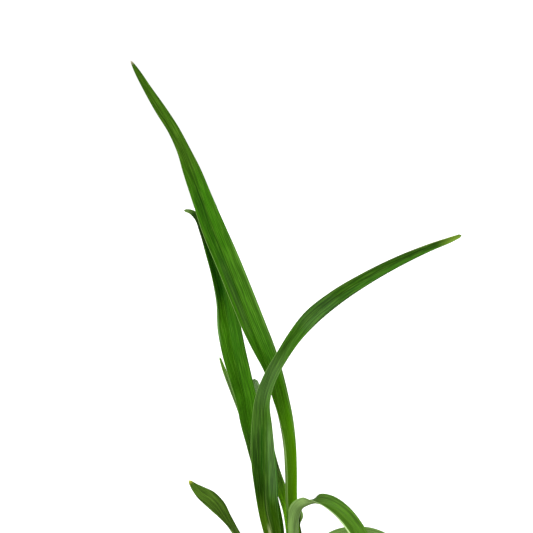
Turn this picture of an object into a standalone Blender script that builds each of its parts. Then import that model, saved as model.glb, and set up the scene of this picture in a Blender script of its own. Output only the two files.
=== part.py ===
"""Potted daylily: two young fans of strap leaves on their crown, in compost, in a nursery pot.

All sizes are in millimetres and are turned into metres as each mesh is made.
The origin is at the middle of the pot's foot, +Z is up and +X is to the right.
"""

import math

import bpy
import numpy as np
from mathutils import Matrix, Vector, noise

MM = 0.001
CLEARANCE = 0.3
CUT_MARGIN = 2.0
TOLERANCE = 0.01
SMOOTH_ANGLE = 40.0

# What each piece is made of: linear colour and roughness
PLASTIC = ("black_plastic", (0.022, 0.023, 0.024), 0.5)
COMPOST = ("compost", (0.045, 0.028, 0.017), 0.95)
ROOT_WHITE = ("root", (0.55, 0.42, 0.25), 0.7)
LEAF_GREEN = ("leaf_green", (0.075, 0.19, 0.028), 0.42)

# Pot: a 15 cm nursery pot, moulded in one piece
POT_HEIGHT = 125.0
POT_FOOT_RADIUS = 53.0
POT_TOP_RADIUS = 71.5
POT_RIM_RADIUS = 76.0
POT_WALL = 1.4
POT_FLOOR = 1.6
POT_SHOULDER_HEIGHT = 106.0
POT_SHOULDER_STEP = 1.2
POT_SHOULDER_RISE = 1.5
POT_COLLAR_DRAFT = 0.3
POT_SKIRT_DROP = 11.0
POT_LIP_CHAMFER = 0.9
POT_FOOT_CHAMFER = 1.2
POT_RECESS = 3.0
POT_RECESS_DRAFT = 1.0
POT_PAD_RADIUS = 12.0
POT_FOOT_RING = 6.0
POT_SIDES = 48
DRAIN_HOLES = 8
DRAIN_RADIUS = 4.5
DRAIN_RING_RADIUS = 34.0
DRAIN_SIDES = 12
FOOT_NOTCHES = 4
FOOT_NOTCH_WIDTH = 10.0
FOOT_NOTCH_HEIGHT = 2.0

# Compost: filled to a little below the rim, with an uneven top
SOIL_TOP = 112.0
SOIL_RELIEF = 1.6
SOIL_LUMP_SIZE = 14.0
SOIL_EDGE_DIP = 2.0
SOIL_RINGS = 9
SOIL_SIDES = 48

# Plant: two fans that grow from one crown, 12 mm below the top of the compost
LEAF_THICKNESS = 0.7
LEAF_FOOT_DEPTH = 12.0
LEAF_COLLAR = 4.0
GUTTER_SHARE = 0.9
NARROWEST_BLADE = 0.8
FLATTEST_FOLD = 2.0
TIGHTEST_GUTTER = 0.5
SAMPLES_PER_ROW = 20

# Each fan: x and y of its middle, and the radius of its neck
FANS = {"left": (-3.2, 4.6, 7.4), "right": (11.5, -4.6, 8.2)}

# The crown under a fan, from its foot up: shares of the neck's radius and of the crown's depth
CROWN_SECTION = [(0.55, 0.0), (1.08, 0.35), (1.08, 0.6), (1.0, 0.8)]
CROWN_DEPTH = 12.0
CROWN_SIDES = 20
BRIDGE_DEPTH = 0.65
BRIDGE_HALF_WIDTH = 4.5
BRIDGE_HALF_HEIGHT = 3.0
BRIDGE_SIDES = 8

# Roots: each leaves the crown level, then bends down, swells in its middle and thins to its end
ROOT_DEPTH = 0.6
ROOT_REACH_POWER = 1.6
ROOT_SINK_POWER = 1.4
ROOT_SWAY = 3.0
ROOT_SWAY_TURNS = 1.3
ROOT_THIN_SHARE = 0.62
ROOT_SWELL_PLACE = 1.25
ROOT_TAPER = 0.55
ROOT_SIDES = 7
ROOT_STATIONS = 10

# Each root: start under a fan, compass heading, length, thickest radius and how far it sinks
ROOTS = [
    ("left", 160.0, 44.0, 2.6, 34.0),
    ("left", 95.0, 43.0, 2.3, 44.0),
    ("left", 215.0, 44.0, 2.8, 52.0),
    ("right", -50.0, 40.0, 2.6, 48.0),
    ("right", 15.0, 38.0, 2.4, 36.0),
    ("right", 60.0, 42.0, 2.7, 56.0),
]

# Each leaf: its fan, the radius of the ring that its foot follows there, the heading of its back,
# how far each half wraps that ring, how many stations it has, and its rows from foot to tip.
# A row is the keel's x, y and height over the compost, the blade's width, the angle that each
# half is folded up by, the blade's turn about its keel, and its gutter's radius.
LEAVES = {
    "leaf_tall": ("right", 3.9, 125, 90, 40, [
        (8, 1, 45.2, 14, 88, 0, 4),
        (6, 3.6, 70.8, 15, 86, 0, 4),
        (5.6, 5.6, 90, 15.6, 82, 0, 4),
        (4.4, 7.6, 107.6, 16.4, 74, 0, 4),
        (1.4, 10.4, 125.2, 17.6, 60, 0, 4),
        (-2.4, 13.6, 140.4, 18.4, 50, -2, 4),
        (-7.2, 17, 159.4, 18, 42, -5, 4),
        (-13, 20, 174.2, 19.6, 34, -10, 4),
        (-19.6, 22.4, 189.8, 20.4, 30, -14, 4),
        (-27.4, 25, 209.6, 20.2, 27, -16, 4),
        (-38.8, 28, 238.4, 19.4, 24, -20, 4),
        (-47.6, 30, 259.8, 18.2, 22, -25, 4),
        (-55.6, 32, 281.2, 15.6, 22, -28, 4),
        (-63.6, 34, 302.8, 13.2, 22, -30, 4),
        (-69.2, 35, 317, 10, 24, -32, 4),
        (-76.2, 36, 331.2, 8.8, 26, -32, 3),
        (-85.4, 37, 345.6, 8.4, 28, -32, 3),
        (-94.4, 38, 359.8, 6.4, 30, -32, 2),
        (-102.8, 39, 374, 3.6, 30, -32, 2),
        (-106.8, 39.6, 380.8, 0.8, 20, -32, 1),
    ]),
    "leaf_behind_tall": ("left", 4.2, 100, 90, 34, [
        (-3, 11.2, 18.4, 15, 64, 0, 4),
        (-3, 12, 42, 15.2, 52, 0, 4),
        (-9.6, 14.4, 72.8, 16.4, 46, 2, 4),
        (-16.8, 16.4, 102, 17.6, 38, 8, 4),
        (-22.4, 18, 123.6, 17.8, 32, 10, 4),
        (-24.8, 19, 138, 17.2, 28, 8, 4),
        (-28.2, 21, 152.2, 17.4, 25, 2, 4),
        (-33.2, 24.4, 173.4, 18.2, 22, -8, 4),
        (-36, 28, 187.6, 18.2, 24, -10, 4),
        (-39.4, 33, 206.4, 15.8, 42, -6, 4),
        (-43.2, 36.4, 224.4, 15.2, 46, -4, 4),
        (-48.4, 38.4, 243.2, 14.4, 46, -4, 4),
        (-53.6, 39.6, 258.4, 11, 42, -8, 3),
        (-58.8, 40, 267.8, 6, 30, -10, 3),
        (-64.8, 40.4, 272.4, 3.2, 30, -10, 2),
        (-69.6, 41, 273.2, 1.4, 20, -10, 1),
    ]),
    "leaf_arching_right": ("left", 2.8, 110, 90, 38, [
        (-5.6, 4, 44.2, 18, 60, -14, 4),
        (-9.2, 4, 61, 19, 50, -8, 4.4),
        (-10.4, 4, 79.2, 20, 38, -12, 4.4),
        (-11, 4, 104.8, 20, 33, -32, 4.4),
        (-10.8, 4, 122.8, 18.6, 36, -42, 4.4),
        (-10, 4, 140.8, 15.6, 44, -50, 4),
        (-4.4, 4, 158.2, 13.6, 50, -52, 4),
        (2.8, 5, 172, 11.8, 46, -46, 4),
        (10.8, 6.4, 185, 12, 40, -38, 4),
        (21.4, 8, 198, 13.2, 34, -32, 4),
        (39.4, 10, 212.8, 12.2, 32, -30, 4),
        (60.4, 12, 226, 10.2, 32, -30, 4),
        (87.2, 14, 240, 7.8, 32, -30, 3),
        (107.6, 15.6, 248.8, 5.6, 32, -30, 3),
        (121.6, 16.4, 254, 4, 30, -30, 2),
        (129.2, 17, 257.2, 2, 20, -30, 1),
    ]),
    "leaf_short_left": ("left", 6.6, 190, 55, 18, [
        (-19.6, 1, 23.8, 12, 52, -10, 4),
        (-33.4, -2, 46, 11.6, 42, -22, 4),
        (-39.2, -4, 56.8, 10.6, 36, -45, 4),
        (-44.8, -5.6, 66.6, 11.6, 24, -72, 4),
        (-50, -6.4, 72.4, 11.4, 18, -80, 4),
        (-55.6, -7.6, 76.8, 9.2, 18, -80, 4),
        (-60.4, -8, 81.2, 5.4, 20, -80, 3),
        (-64.4, -8.4, 86, 1.4, 20, -80, 1),
    ]),
    "leaf_recurved": ("right", 6.3, -40, 55, 32, [
        (14, -9.6, 28.4, 12.4, 56, 0, 5),
        (12, -10, 48.4, 13.2, 55, 0, 4.4),
        (12.4, -11, 58, 14, 52, 0, 4),
        (15.2, -13.6, 66.8, 17.2, 48, -6, 4),
        (20, -17.6, 70.8, 15.2, 50, -18, 4),
        (25.8, -23, 73.6, 14.6, 48, 10, 4),
        (34, -29, 73.2, 14.6, 44, 26, 4),
        (42.4, -35, 69.2, 13.6, 36, 36, 4),
        (51.2, -41, 59.6, 13, 30, 38, 4),
        (58.4, -46, 48.2, 11, 26, 40, 4),
        (63.6, -50, 36.8, 8, 26, 40, 3),
        (67, -53, 25.2, 4, 25, 40, 2),
        (68.2, -55, 18.8, 1.2, 20, 40, 1),
    ]),
    "leaf_low_right": ("right", 7.4, -15, 40, 24, [
        (20.4, -7, 24.8, 11.6, 48, 0, 4),
        (28, -8.4, 38.4, 12, 48, 0, 4),
        (39.2, -11, 46.4, 12, 42, 5, 4),
        (54.2, -15, 49.2, 12, 38, 15, 4),
        (66.8, -19, 48, 11.6, 34, 25, 4),
        (77.6, -23, 43.6, 10, 30, 28, 4),
        (86.8, -27, 36, 7, 28, 28, 3),
        (93.6, -30, 28.4, 3.6, 25, 28, 2),
        (96.4, -31, 24.4, 1.2, 20, 28, 1),
    ]),
    "leaf_pointed": ("left", 5.4, 150, 38, 20, [
        (-8.4, 17, 40.4, 8, 42, 0, 4),
        (-14.4, 20, 71.6, 8, 40, 0, 4),
        (-22.4, 23, 100.4, 8, 35, 0, 4),
        (-28.8, 25.6, 125.6, 8, 30, 0, 3),
        (-36, 27.6, 145.2, 7.2, 26, 0, 3),
        (-40.8, 29, 158, 4.8, 24, 0, 2),
        (-43.6, 30, 167.6, 1.6, 20, 0, 1),
    ]),
    "leaf_round_tipped": ("right", 5.2, 130, 50, 20, [
        (8, 1.6, 23.6, 8.6, 46, -6, 4),
        (8, 5.6, 43.8, 8, 38, -34, 4),
        (6.2, 10.4, 59.2, 8, 38, -58, 4),
        (2, 15.6, 72.8, 9, 36, -60, 4),
        (-3, 19, 85.8, 8.4, 35, -52, 4),
        (-12.4, 24, 118.6, 10, 28, -45, 4),
        (-16.8, 27, 137.8, 9.8, 24, -45, 4),
        (-18, 28, 146.4, 7.8, 20, -45, 4),
        (-18.2, 28.4, 152, 3.4, 15, -45, 3),
    ]),
    "leaf_crinkled": ("right", 5.1, 45, 18, 16, [
        (15.6, 1.6, 25.2, 4.4, 35, 0, 4),
        (14.4, 2.4, 44.8, 4.4, 30, 0, 4),
        (13.6, 2.4, 52, 4.2, 30, 0, 3),
        (15.2, 2.4, 57.6, 6.4, 28, 0, 3),
        (15.8, 2.2, 61.2, 2.4, 20, 0, 2),
    ]),
}


def clear_scene():
    for old in list(bpy.data.objects):
        bpy.data.objects.remove(old, do_unlink=True)


def material(kind):
    name, colour, roughness = kind
    made = bpy.data.materials.new(name)
    made.use_nodes = True
    shader = made.node_tree.nodes["Principled BSDF"]
    shader.inputs["Base Color"].default_value = (*colour, 1.0)
    shader.inputs["Roughness"].default_value = roughness
    shader.inputs["Metallic"].default_value = 0.0
    return made


def add_object(name, points, faces, finish):
    """A smooth-shaded object from points in millimetres."""
    mesh = bpy.data.meshes.new(name)
    mesh.from_pydata([Vector(p) * MM for p in points], [], faces)
    mesh.validate()
    mesh.shade_smooth()
    mesh.set_sharp_from_angle(angle=math.radians(SMOOTH_ANGLE))
    mesh.materials.append(finish)
    made = bpy.data.objects.new(name, mesh)
    bpy.context.collection.objects.link(made)
    return made


def turned(name, profile, sides, finish):
    """A closed solid of revolution. The profile runs from the axis round to the axis again."""
    points = []
    rings = []
    for radius, height in profile:
        if radius == 0:
            rings.append([len(points)] * sides)
            points.append((0.0, 0.0, height))
            continue
        rings.append(list(range(len(points), len(points) + sides)))
        for k in range(sides):
            angle = 2 * math.pi * k / sides
            points.append((radius * math.cos(angle), radius * math.sin(angle), height))
    faces = []
    for low, high in zip(rings, rings[1:]):
        for k in range(sides):
            after = (k + 1) % sides
            corners = [low[k], low[after], high[after], high[k]]
            faces.append(list(dict.fromkeys(corners)))
    return add_object(name, points, faces, finish)


def cut(target, cutter, operation="DIFFERENCE"):
    """Applies one Boolean to the target's mesh and removes the cutter."""
    modifier = target.modifiers.new(operation.title(), "BOOLEAN")
    modifier.operation = operation
    modifier.solver = "EXACT"
    modifier.object = cutter
    bpy.context.view_layer.update()
    graph = bpy.context.evaluated_depsgraph_get()
    result = bpy.data.meshes.new_from_object(target.evaluated_get(graph))
    target.modifiers.remove(modifier)
    target.data = result
    bpy.data.objects.remove(cutter, do_unlink=True)


def rod(name, x, y, bottom, top, finish):
    """An upright cylinder as wide as a drain hole."""
    profile = [(0, bottom), (DRAIN_RADIUS, bottom), (DRAIN_RADIUS, top), (0, top)]
    made = turned(name, profile, DRAIN_SIDES, finish)
    made.data.transform(Matrix.Translation((x * MM, y * MM, 0)))
    return made


def wall_radius(height):
    """The pot's outer radius below its shoulder."""
    return POT_FOOT_RADIUS + (POT_TOP_RADIUS - POT_SHOULDER_STEP - POT_FOOT_RADIUS) * (
        height / POT_SHOULDER_HEIGHT
    )


def make_pot():
    plastic = material(PLASTIC)
    floor_top = POT_RECESS + POT_FLOOR
    foot_inside = POT_FOOT_RADIUS - POT_FOOT_RING
    skirt_inside = POT_RIM_RADIUS - POT_WALL
    under_rim = POT_HEIGHT - POT_WALL
    inside = POT_TOP_RADIUS - POT_WALL
    profile = [
        (0, 0),
        (POT_PAD_RADIUS, 0),
        (POT_PAD_RADIUS + POT_RECESS_DRAFT, POT_RECESS),
        (foot_inside - POT_RECESS_DRAFT, POT_RECESS),
        (foot_inside, 0),
        (POT_FOOT_RADIUS - POT_FOOT_CHAMFER, 0),
        (POT_FOOT_RADIUS, POT_FOOT_CHAMFER),
        (wall_radius(POT_SHOULDER_HEIGHT), POT_SHOULDER_HEIGHT),
        (POT_TOP_RADIUS, POT_SHOULDER_HEIGHT + POT_SHOULDER_RISE),
        (POT_TOP_RADIUS + POT_COLLAR_DRAFT, under_rim),
        (skirt_inside, under_rim),
        (skirt_inside, POT_HEIGHT - POT_SKIRT_DROP),
        (POT_RIM_RADIUS, POT_HEIGHT - POT_SKIRT_DROP),
        (POT_RIM_RADIUS, POT_HEIGHT - POT_LIP_CHAMFER),
        (POT_RIM_RADIUS - POT_LIP_CHAMFER, POT_HEIGHT),
        (inside + POT_COLLAR_DRAFT + POT_LIP_CHAMFER, POT_HEIGHT),
        (inside + POT_COLLAR_DRAFT, POT_HEIGHT - POT_LIP_CHAMFER),
        (inside, POT_SHOULDER_HEIGHT + POT_SHOULDER_RISE),
        (wall_radius(POT_SHOULDER_HEIGHT) - POT_WALL, POT_SHOULDER_HEIGHT),
        (wall_radius(floor_top) - POT_WALL, floor_top),
        (0, floor_top),
    ]
    pot = turned("pot", profile, POT_SIDES, plastic)
    for k in range(DRAIN_HOLES):
        angle = 2 * math.pi * (k + 0.5) / DRAIN_HOLES
        x = DRAIN_RING_RADIUS * math.cos(angle)
        y = DRAIN_RING_RADIUS * math.sin(angle)
        cut(pot, rod("drain", x, y, POT_RECESS - CUT_MARGIN, floor_top + CUT_MARGIN, plastic))
    for k in range(FOOT_NOTCHES):
        cut(pot, foot_notch(2 * math.pi * k / FOOT_NOTCHES, plastic))
    return pot


def foot_notch(angle, finish):
    """A box across the foot ring, where water drains away."""
    near = POT_FOOT_RADIUS - POT_FOOT_RING - CUT_MARGIN
    far = POT_FOOT_RADIUS + CUT_MARGIN
    half = FOOT_NOTCH_WIDTH / 2
    points = []
    for z in (-CUT_MARGIN, FOOT_NOTCH_HEIGHT):
        for along, across in ((near, -half), (far, -half), (far, half), (near, half)):
            x = along * math.cos(angle) - across * math.sin(angle)
            y = along * math.sin(angle) + across * math.cos(angle)
            points.append((x, y, z))
    faces = [(3, 2, 1, 0), (4, 5, 6, 7), (0, 1, 5, 4), (1, 2, 6, 5), (2, 3, 7, 6), (3, 0, 4, 7)]
    return add_object("notch", points, faces, finish)


def soil_height(x, y, reach):
    """The compost's uneven top, which dips a little where it meets the pot."""
    lumps = noise.noise(Vector((x, y, 7.0)) / SOIL_LUMP_SIZE)
    out = math.hypot(x, y) / reach
    return SOIL_TOP + SOIL_RELIEF * lumps * (1 - out**6) - SOIL_EDGE_DIP * out**6


def make_soil():
    compost = material(COMPOST)
    gap = POT_WALL + CLEARANCE
    bottom = POT_RECESS + POT_FLOOR + CLEARANCE
    edge_height = SOIL_TOP - SOIL_EDGE_DIP
    reach = POT_TOP_RADIUS - gap
    profile = [
        (0, bottom),
        (wall_radius(bottom) - gap, bottom),
        (wall_radius(POT_SHOULDER_HEIGHT) - gap, POT_SHOULDER_HEIGHT),
        (reach, POT_SHOULDER_HEIGHT + POT_SHOULDER_RISE),
        (reach, edge_height),
    ]
    for k in range(SOIL_RINGS, 0, -1):
        profile.append((reach * k / (SOIL_RINGS + 1), SOIL_TOP))
    profile.append((0, SOIL_TOP))
    soil = turned("soil", profile, SOIL_SIDES, compost)
    for vertex in soil.data.vertices:
        x, y, z = vertex.co / MM
        if z > edge_height - TOLERANCE and math.hypot(x, y) < reach - TOLERANCE:
            vertex.co.z = soil_height(x, y, reach) * MM
    cut(soil, make_crown("pocket", CLEARANCE, SOIL_TOP + SOIL_RELIEF + CUT_MARGIN))
    return soil


def root_points(fan, heading, length, sink):
    """The path of a fleshy root, out from under its fan and bending downward."""
    x, y, _ = FANS[fan]
    angle = math.radians(heading)
    start = SOIL_TOP - LEAF_FOOT_DEPTH - CROWN_DEPTH * ROOT_DEPTH
    path = []
    for k in range(ROOT_STATIONS):
        t = k / (ROOT_STATIONS - 1)
        out = length * (1 - (1 - t) ** ROOT_REACH_POWER)
        sway = ROOT_SWAY * math.sin(2 * math.pi * ROOT_SWAY_TURNS * t + heading)
        path.append((
            x + out * math.cos(angle) - sway * math.sin(angle) * t,
            y + out * math.sin(angle) + sway * math.cos(angle) * t,
            start - sink * t**ROOT_SINK_POWER,
        ))
    return np.array(path)


def make_root(name, spec, grow, finish):
    """A spindle-shaped root: a ring of points round each place on its path."""
    fan, heading, length, thick, sink = spec
    path = root_points(fan, heading, length, sink)
    tip = path[-1] - path[-2]
    path[-1] += tip / np.linalg.norm(tip) * grow
    points = []
    for k, centre in enumerate(path):
        t = k / (ROOT_STATIONS - 1)
        swell = math.sin(math.pi * min(1.0, t * ROOT_SWELL_PLACE)) ** 2
        swell = ROOT_THIN_SHARE + (1 - ROOT_THIN_SHARE) * swell
        radius = thick * swell * (1 - ROOT_TAPER * t**3) + grow
        along = Vector(path[min(k + 1, len(path) - 1)] - path[max(k - 1, 0)]).normalized()
        side = along.cross(Vector((0, 0, 1))).normalized()
        up = side.cross(along)
        for j in range(ROOT_SIDES):
            turn = 2 * math.pi * j / ROOT_SIDES
            offset = (side * math.cos(turn) + up * math.sin(turn)) * radius
            points.append(Vector(centre) + offset)
    faces = [list(range(ROOT_SIDES))]
    for k in range(ROOT_STATIONS - 1):
        for j in range(ROOT_SIDES):
            after = (j + 1) % ROOT_SIDES
            low, high = k * ROOT_SIDES, (k + 1) * ROOT_SIDES
            faces.append([low + j, high + j, high + after, low + after])
    last = (ROOT_STATIONS - 1) * ROOT_SIDES
    faces.append([last + j for j in reversed(range(ROOT_SIDES))])
    return add_object(name, points, faces, finish)


def make_crown(name, grow, neck_top):
    """The crown under both fans with its roots, grown all round by the given amount."""
    root_white = material(ROOT_WHITE)
    top = SOIL_TOP - LEAF_FOOT_DEPTH
    crown = None
    for fan, (x, y, radius) in FANS.items():
        neck = radius - CLEARANCE + grow
        low = top - CLEARANCE - CROWN_DEPTH - grow
        section = [(neck * wide, low + CROWN_DEPTH * high) for wide, high in CROWN_SECTION]
        profile = [(0, low), *section, (neck, neck_top), (0, neck_top)]
        piece = turned(fan, profile, CROWN_SIDES, root_white)
        piece.data.transform(Matrix.Translation((x * MM, y * MM, 0)))
        crown = join(crown, piece)
    crown = join(crown, make_bridge(grow, root_white))
    for number, spec in enumerate(ROOTS):
        crown = join(crown, make_root(f"root_{number}", spec, grow, root_white))
    crown.name = name
    crown.data.name = name
    return crown


def make_bridge(grow, finish):
    """The short piece of crown between the two fans."""
    (x0, y0, _), (x1, y1, _) = FANS.values()
    middle = SOIL_TOP - LEAF_FOOT_DEPTH - CROWN_DEPTH * BRIDGE_DEPTH
    along = Vector((x1 - x0, y1 - y0, 0)).normalized()
    across = Vector((-along.y, along.x, 0))
    half_width = BRIDGE_HALF_WIDTH + grow
    half_height = BRIDGE_HALF_HEIGHT + grow
    points = []
    for end in (Vector((x0, y0, middle)), Vector((x1, y1, middle))):
        for k in range(BRIDGE_SIDES):
            turn = 2 * math.pi * (k + 0.5) / BRIDGE_SIDES
            offset = across * half_width * math.cos(turn)
            points.append(end + offset + Vector((0, 0, half_height * math.sin(turn))))
    near = list(range(BRIDGE_SIDES))
    far = [BRIDGE_SIDES + k for k in near]
    faces = [near, far[::-1]]
    for k in near:
        after = (k + 1) % BRIDGE_SIDES
        faces.append([near[k], far[k], far[after], near[after]])
    return add_object("bridge", points, faces, finish)


def join(body, piece):
    """One body from two overlapping ones."""
    if body is None:
        return piece
    cut(body, piece, "UNION")
    return body


def smooth_rows(rows, count):
    """Rows at even distances along a smooth curve through the given ones."""
    rows = np.array(rows, float)
    steps = np.linalg.norm(np.diff(rows[:, :3], axis=0), axis=1)
    reached = np.concatenate([[0.0], np.cumsum(steps)])
    slope = np.diff(rows, axis=0) / steps[:, None]
    share = (steps[:-1] / (steps[:-1] + steps[1:]))[:, None]
    lean = np.vstack([slope[:1], slope[:-1] * (1 - share) + slope[1:] * share, slope[-1:]])

    def at(places):
        k = np.clip(np.searchsorted(reached, places, side="right") - 1, 0, len(steps) - 1)
        step = steps[k][:, None]
        u = (places - reached[k])[:, None] / step
        return (
            (2 * u**3 - 3 * u**2 + 1) * rows[k]
            + (u**3 - 2 * u**2 + u) * step * lean[k]
            + (3 * u**2 - 2 * u**3) * rows[k + 1]
            + (u**3 - u**2) * step * lean[k + 1]
        )

    fine = np.linspace(0, reached[-1], SAMPLES_PER_ROW * len(rows))
    run = np.linalg.norm(np.diff(at(fine)[:, :3], axis=0), axis=1)
    run = np.concatenate([[0.0], np.cumsum(run)])
    return at(np.interp(np.linspace(0, run[-1], count), run, fine))


def half_section(half_width, fold, gutter):
    """Across and depth of half a blade: a rounded gutter by the keel, then straight to the margin."""
    arc = min(gutter * fold, GUTTER_SHARE * half_width)
    radius = arc / fold
    places = []
    for turn in (0, fold / 2, fold):
        places.append((radius * math.sin(turn), radius * (1 - math.cos(turn))))
    rest = half_width - arc
    across, depth = places[-1]
    places.append((across + rest * math.cos(fold), depth + rest * math.sin(fold)))
    return places


def leaf_rows(spec):
    """All rows of a leaf, with its upright foot in front of the listed ones."""
    fan, ring, heading, fold, stations, rows = spec
    x, y, _ = FANS[fan]
    angle = math.radians(heading)
    keel = (x + ring * math.cos(angle), y + ring * math.sin(angle))
    width = 2 * ring * math.radians(fold) / GUTTER_SHARE
    foot = [(*keel, h, width, fold, 0, ring) for h in (-LEAF_FOOT_DEPTH, 0.0, LEAF_COLLAR)]
    return smooth_rows(foot + rows, stations)


def make_leaf(name, spec, finish):
    """A blade on its keel's path, folded along the keel and made solid with an even thickness."""
    rows = leaf_rows(spec)
    heading = math.radians(spec[2])
    tangents = np.gradient(rows[:, :3], axis=0)
    face_up = Vector((-math.cos(heading), -math.sin(heading), 0))
    points = []
    for row, tangent in zip(rows, tangents):
        tangent = Vector(tangent).normalized()
        face_up = (face_up - face_up.dot(tangent) * tangent).normalized()
        x, y, height, width, fold, twist, gutter = row
        turn = math.radians(twist)
        side = tangent.cross(face_up)
        normal = face_up * math.cos(turn) + side * math.sin(turn)
        across = side * math.cos(turn) - face_up * math.sin(turn)
        keel = Vector((x, y, SOIL_TOP + height))
        half_width = max(width, NARROWEST_BLADE) / 2
        half = half_section(half_width, math.radians(max(fold, FLATTEST_FOLD)), max(gutter, TIGHTEST_GUTTER))
        for out, depth in half[:0:-1]:
            points.append(keel - across * out + normal * depth)
        for out, depth in half:
            points.append(keel + across * out + normal * depth)
    wide = 2 * len(half) - 1
    faces = []
    for i in range(len(rows) - 1):
        for j in range(wide - 1):
            a, b = i * wide + j, i * wide + j + 1
            c, d = b + wide, a + wide
            faces.append([a, b, c])
            faces.append([a, c, d])
    leaf = add_object(name, points, faces, finish)
    solid = leaf.modifiers.new("Thickness", "SOLIDIFY")
    solid.thickness = LEAF_THICKNESS * MM
    solid.offset = 0
    solid.use_even_offset = True
    return leaf


def make_plant():
    make_crown("crown", 0.0, SOIL_TOP - LEAF_FOOT_DEPTH - CLEARANCE)
    green = material(LEAF_GREEN)
    for name, spec in LEAVES.items():
        make_leaf(name, spec, green)


clear_scene()
make_pot()
make_soil()
make_plant()
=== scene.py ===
# %% [markdown]
# A potted daylily: two young fans of strap leaves that grow from one crown, in compost, in a
# black nursery pot. The plant is nearly half a metre tall, and its leaves are all that a viewer
# at the front sees, so most of this lesson is about one kind of blade.
#
# The packed model is the frame. It says where each leaf, the compost and the pot are, in metres,
# and every piece below is made at its place there. Nothing is scaled or moved to fit.

# %% Load the packed model
import math

import bpy
import numpy as np
from mathutils import Matrix, Vector, noise


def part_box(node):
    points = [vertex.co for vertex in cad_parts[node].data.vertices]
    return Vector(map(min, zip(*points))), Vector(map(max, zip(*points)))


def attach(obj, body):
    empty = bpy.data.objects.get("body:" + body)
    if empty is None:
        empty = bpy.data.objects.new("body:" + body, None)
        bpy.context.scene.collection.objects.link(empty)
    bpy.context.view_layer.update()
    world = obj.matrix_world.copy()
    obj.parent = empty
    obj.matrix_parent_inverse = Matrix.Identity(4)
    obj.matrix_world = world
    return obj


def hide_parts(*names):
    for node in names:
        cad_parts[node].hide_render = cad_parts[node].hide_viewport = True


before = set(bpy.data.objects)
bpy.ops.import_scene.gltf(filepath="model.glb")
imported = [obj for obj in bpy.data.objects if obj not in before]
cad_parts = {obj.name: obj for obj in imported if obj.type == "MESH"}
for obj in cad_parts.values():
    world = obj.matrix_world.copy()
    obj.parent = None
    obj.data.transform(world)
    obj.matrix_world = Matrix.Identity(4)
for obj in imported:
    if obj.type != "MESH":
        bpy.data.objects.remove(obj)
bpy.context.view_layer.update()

MM = 0.001
print("nodes:", ", ".join(sorted(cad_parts)))

# %% [markdown]
# Materials and Geometry Nodes are both networks of nodes. Wiring them by hand takes a line for
# each link, and the arithmetic gets lost. Here a node's output is wrapped in a small class whose
# operators add Math nodes, so that a formula in the network reads like a formula in Python.
# Colours and vectors would lose their parts in a Math node, so they go through Mix and Vector Math.

# %% Values that write their own nodes
def pick(sockets, name):
    """A socket by its name, or by its number among those in use."""
    in_use = [socket for socket in sockets if socket.enabled]
    return in_use[name] if isinstance(name, int) else next(s for s in in_use if s.name == name)


def function(operation):
    return lambda self, *others: self.graph.maths(operation, self, *others)


def operator(operation):
    """An operator and its reflected form, so that both mask - 1 and 1 - mask add their node."""
    return function(operation), lambda self, other: self.graph.maths(operation, other, self)


class Value:
    """The output of a node. Arithmetic on it adds Math nodes to the same network."""

    def __init__(self, graph, socket):
        self.graph = graph
        self.socket = socket

    __add__, __radd__ = operator("ADD")
    __sub__, __rsub__ = operator("SUBTRACT")
    __mul__, __rmul__ = operator("MULTIPLY")
    __truediv__, __rtruediv__ = operator("DIVIDE")
    __mod__, __rmod__ = operator("MODULO")
    __pow__, __rpow__ = operator("POWER")
    __abs__ = function("ABSOLUTE")
    floor = function("FLOOR")
    sign = function("SIGN")
    sine = function("SINE")
    cosine = function("COSINE")
    at_least = function("MAXIMUM")
    at_most = function("MINIMUM")

    def __neg__(self):
        return self * -1.0

    def rise(self, low, high):
        """0 below low, 1 above high, and a smooth step between them."""
        ends = {"Value": self, "From Min": low, "From Max": high}
        return self.graph.node("ShaderNodeMapRange", ends, interpolation_type="SMOOTHSTEP")

    def bump(self, width):
        """1 where the value is 0, falling off to both sides like a bell of this width."""
        return self.graph.maths("EXPONENT", -((self / width) ** 2))

    def between(self, low, high, soft):
        """1 from low to high, falling to 0 over soft on either side."""
        return self.rise(low - soft, low) * (1 - self.rise(high, high + soft))


class Graph:
    """Adds nodes to one network."""

    def __init__(self, tree):
        self.tree = tree

    def fill(self, socket, given):
        """Links a Value, or each of a list of them, and sets anything else."""
        if isinstance(given, (Value, list)):
            for value in given if isinstance(given, list) else [given]:
                self.tree.links.new(value.socket, socket)
        elif socket.type == "RGBA":
            socket.default_value = (*given, 1.0)
        else:
            socket.default_value = given

    def node(self, kind, sockets=None, output=0, **settings):
        """A node with its settings made first, then its sockets. It gives back one output."""
        made = self.tree.nodes.new(kind)
        for name, setting in settings.items():
            setattr(made, name, setting)
        for name, given in (sockets or {}).items():
            self.fill(pick(made.inputs, name), given)
        return Value(self, pick(made.outputs, output)) if len(made.outputs) else None

    def maths(self, operation, *terms):
        return self.node("ShaderNodeMath", dict(enumerate(terms)), operation=operation)

    def mix(self, first, second, share):
        """A colour between two colours."""
        return self.node("ShaderNodeMix", {"Factor": share, "A": first, "B": second}, data_type="RGBA")

    def vector(self, x, y, z):
        return self.node("ShaderNodeCombineXYZ", {"X": x, "Y": y, "Z": z})

    def scaled(self, vector, length):
        return self.node("ShaderNodeVectorMath", {"Vector": vector, "Scale": length}, operation="SCALE")

    def sum_of(self, first, second):
        return self.node("ShaderNodeVectorMath", {0: first, 1: second}, operation="ADD")

    def noise(self, place, size, detail=3.0, roughness=0.5):
        """Cloudy noise about 0, from -0.5 to 0.5, with blobs of roughly the given size."""
        sockets = {"Vector": place, "Scale": 1.0 / size, "Detail": detail, "Roughness": roughness}
        return self.node("ShaderNodeTexNoise", sockets) - 0.5


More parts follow.
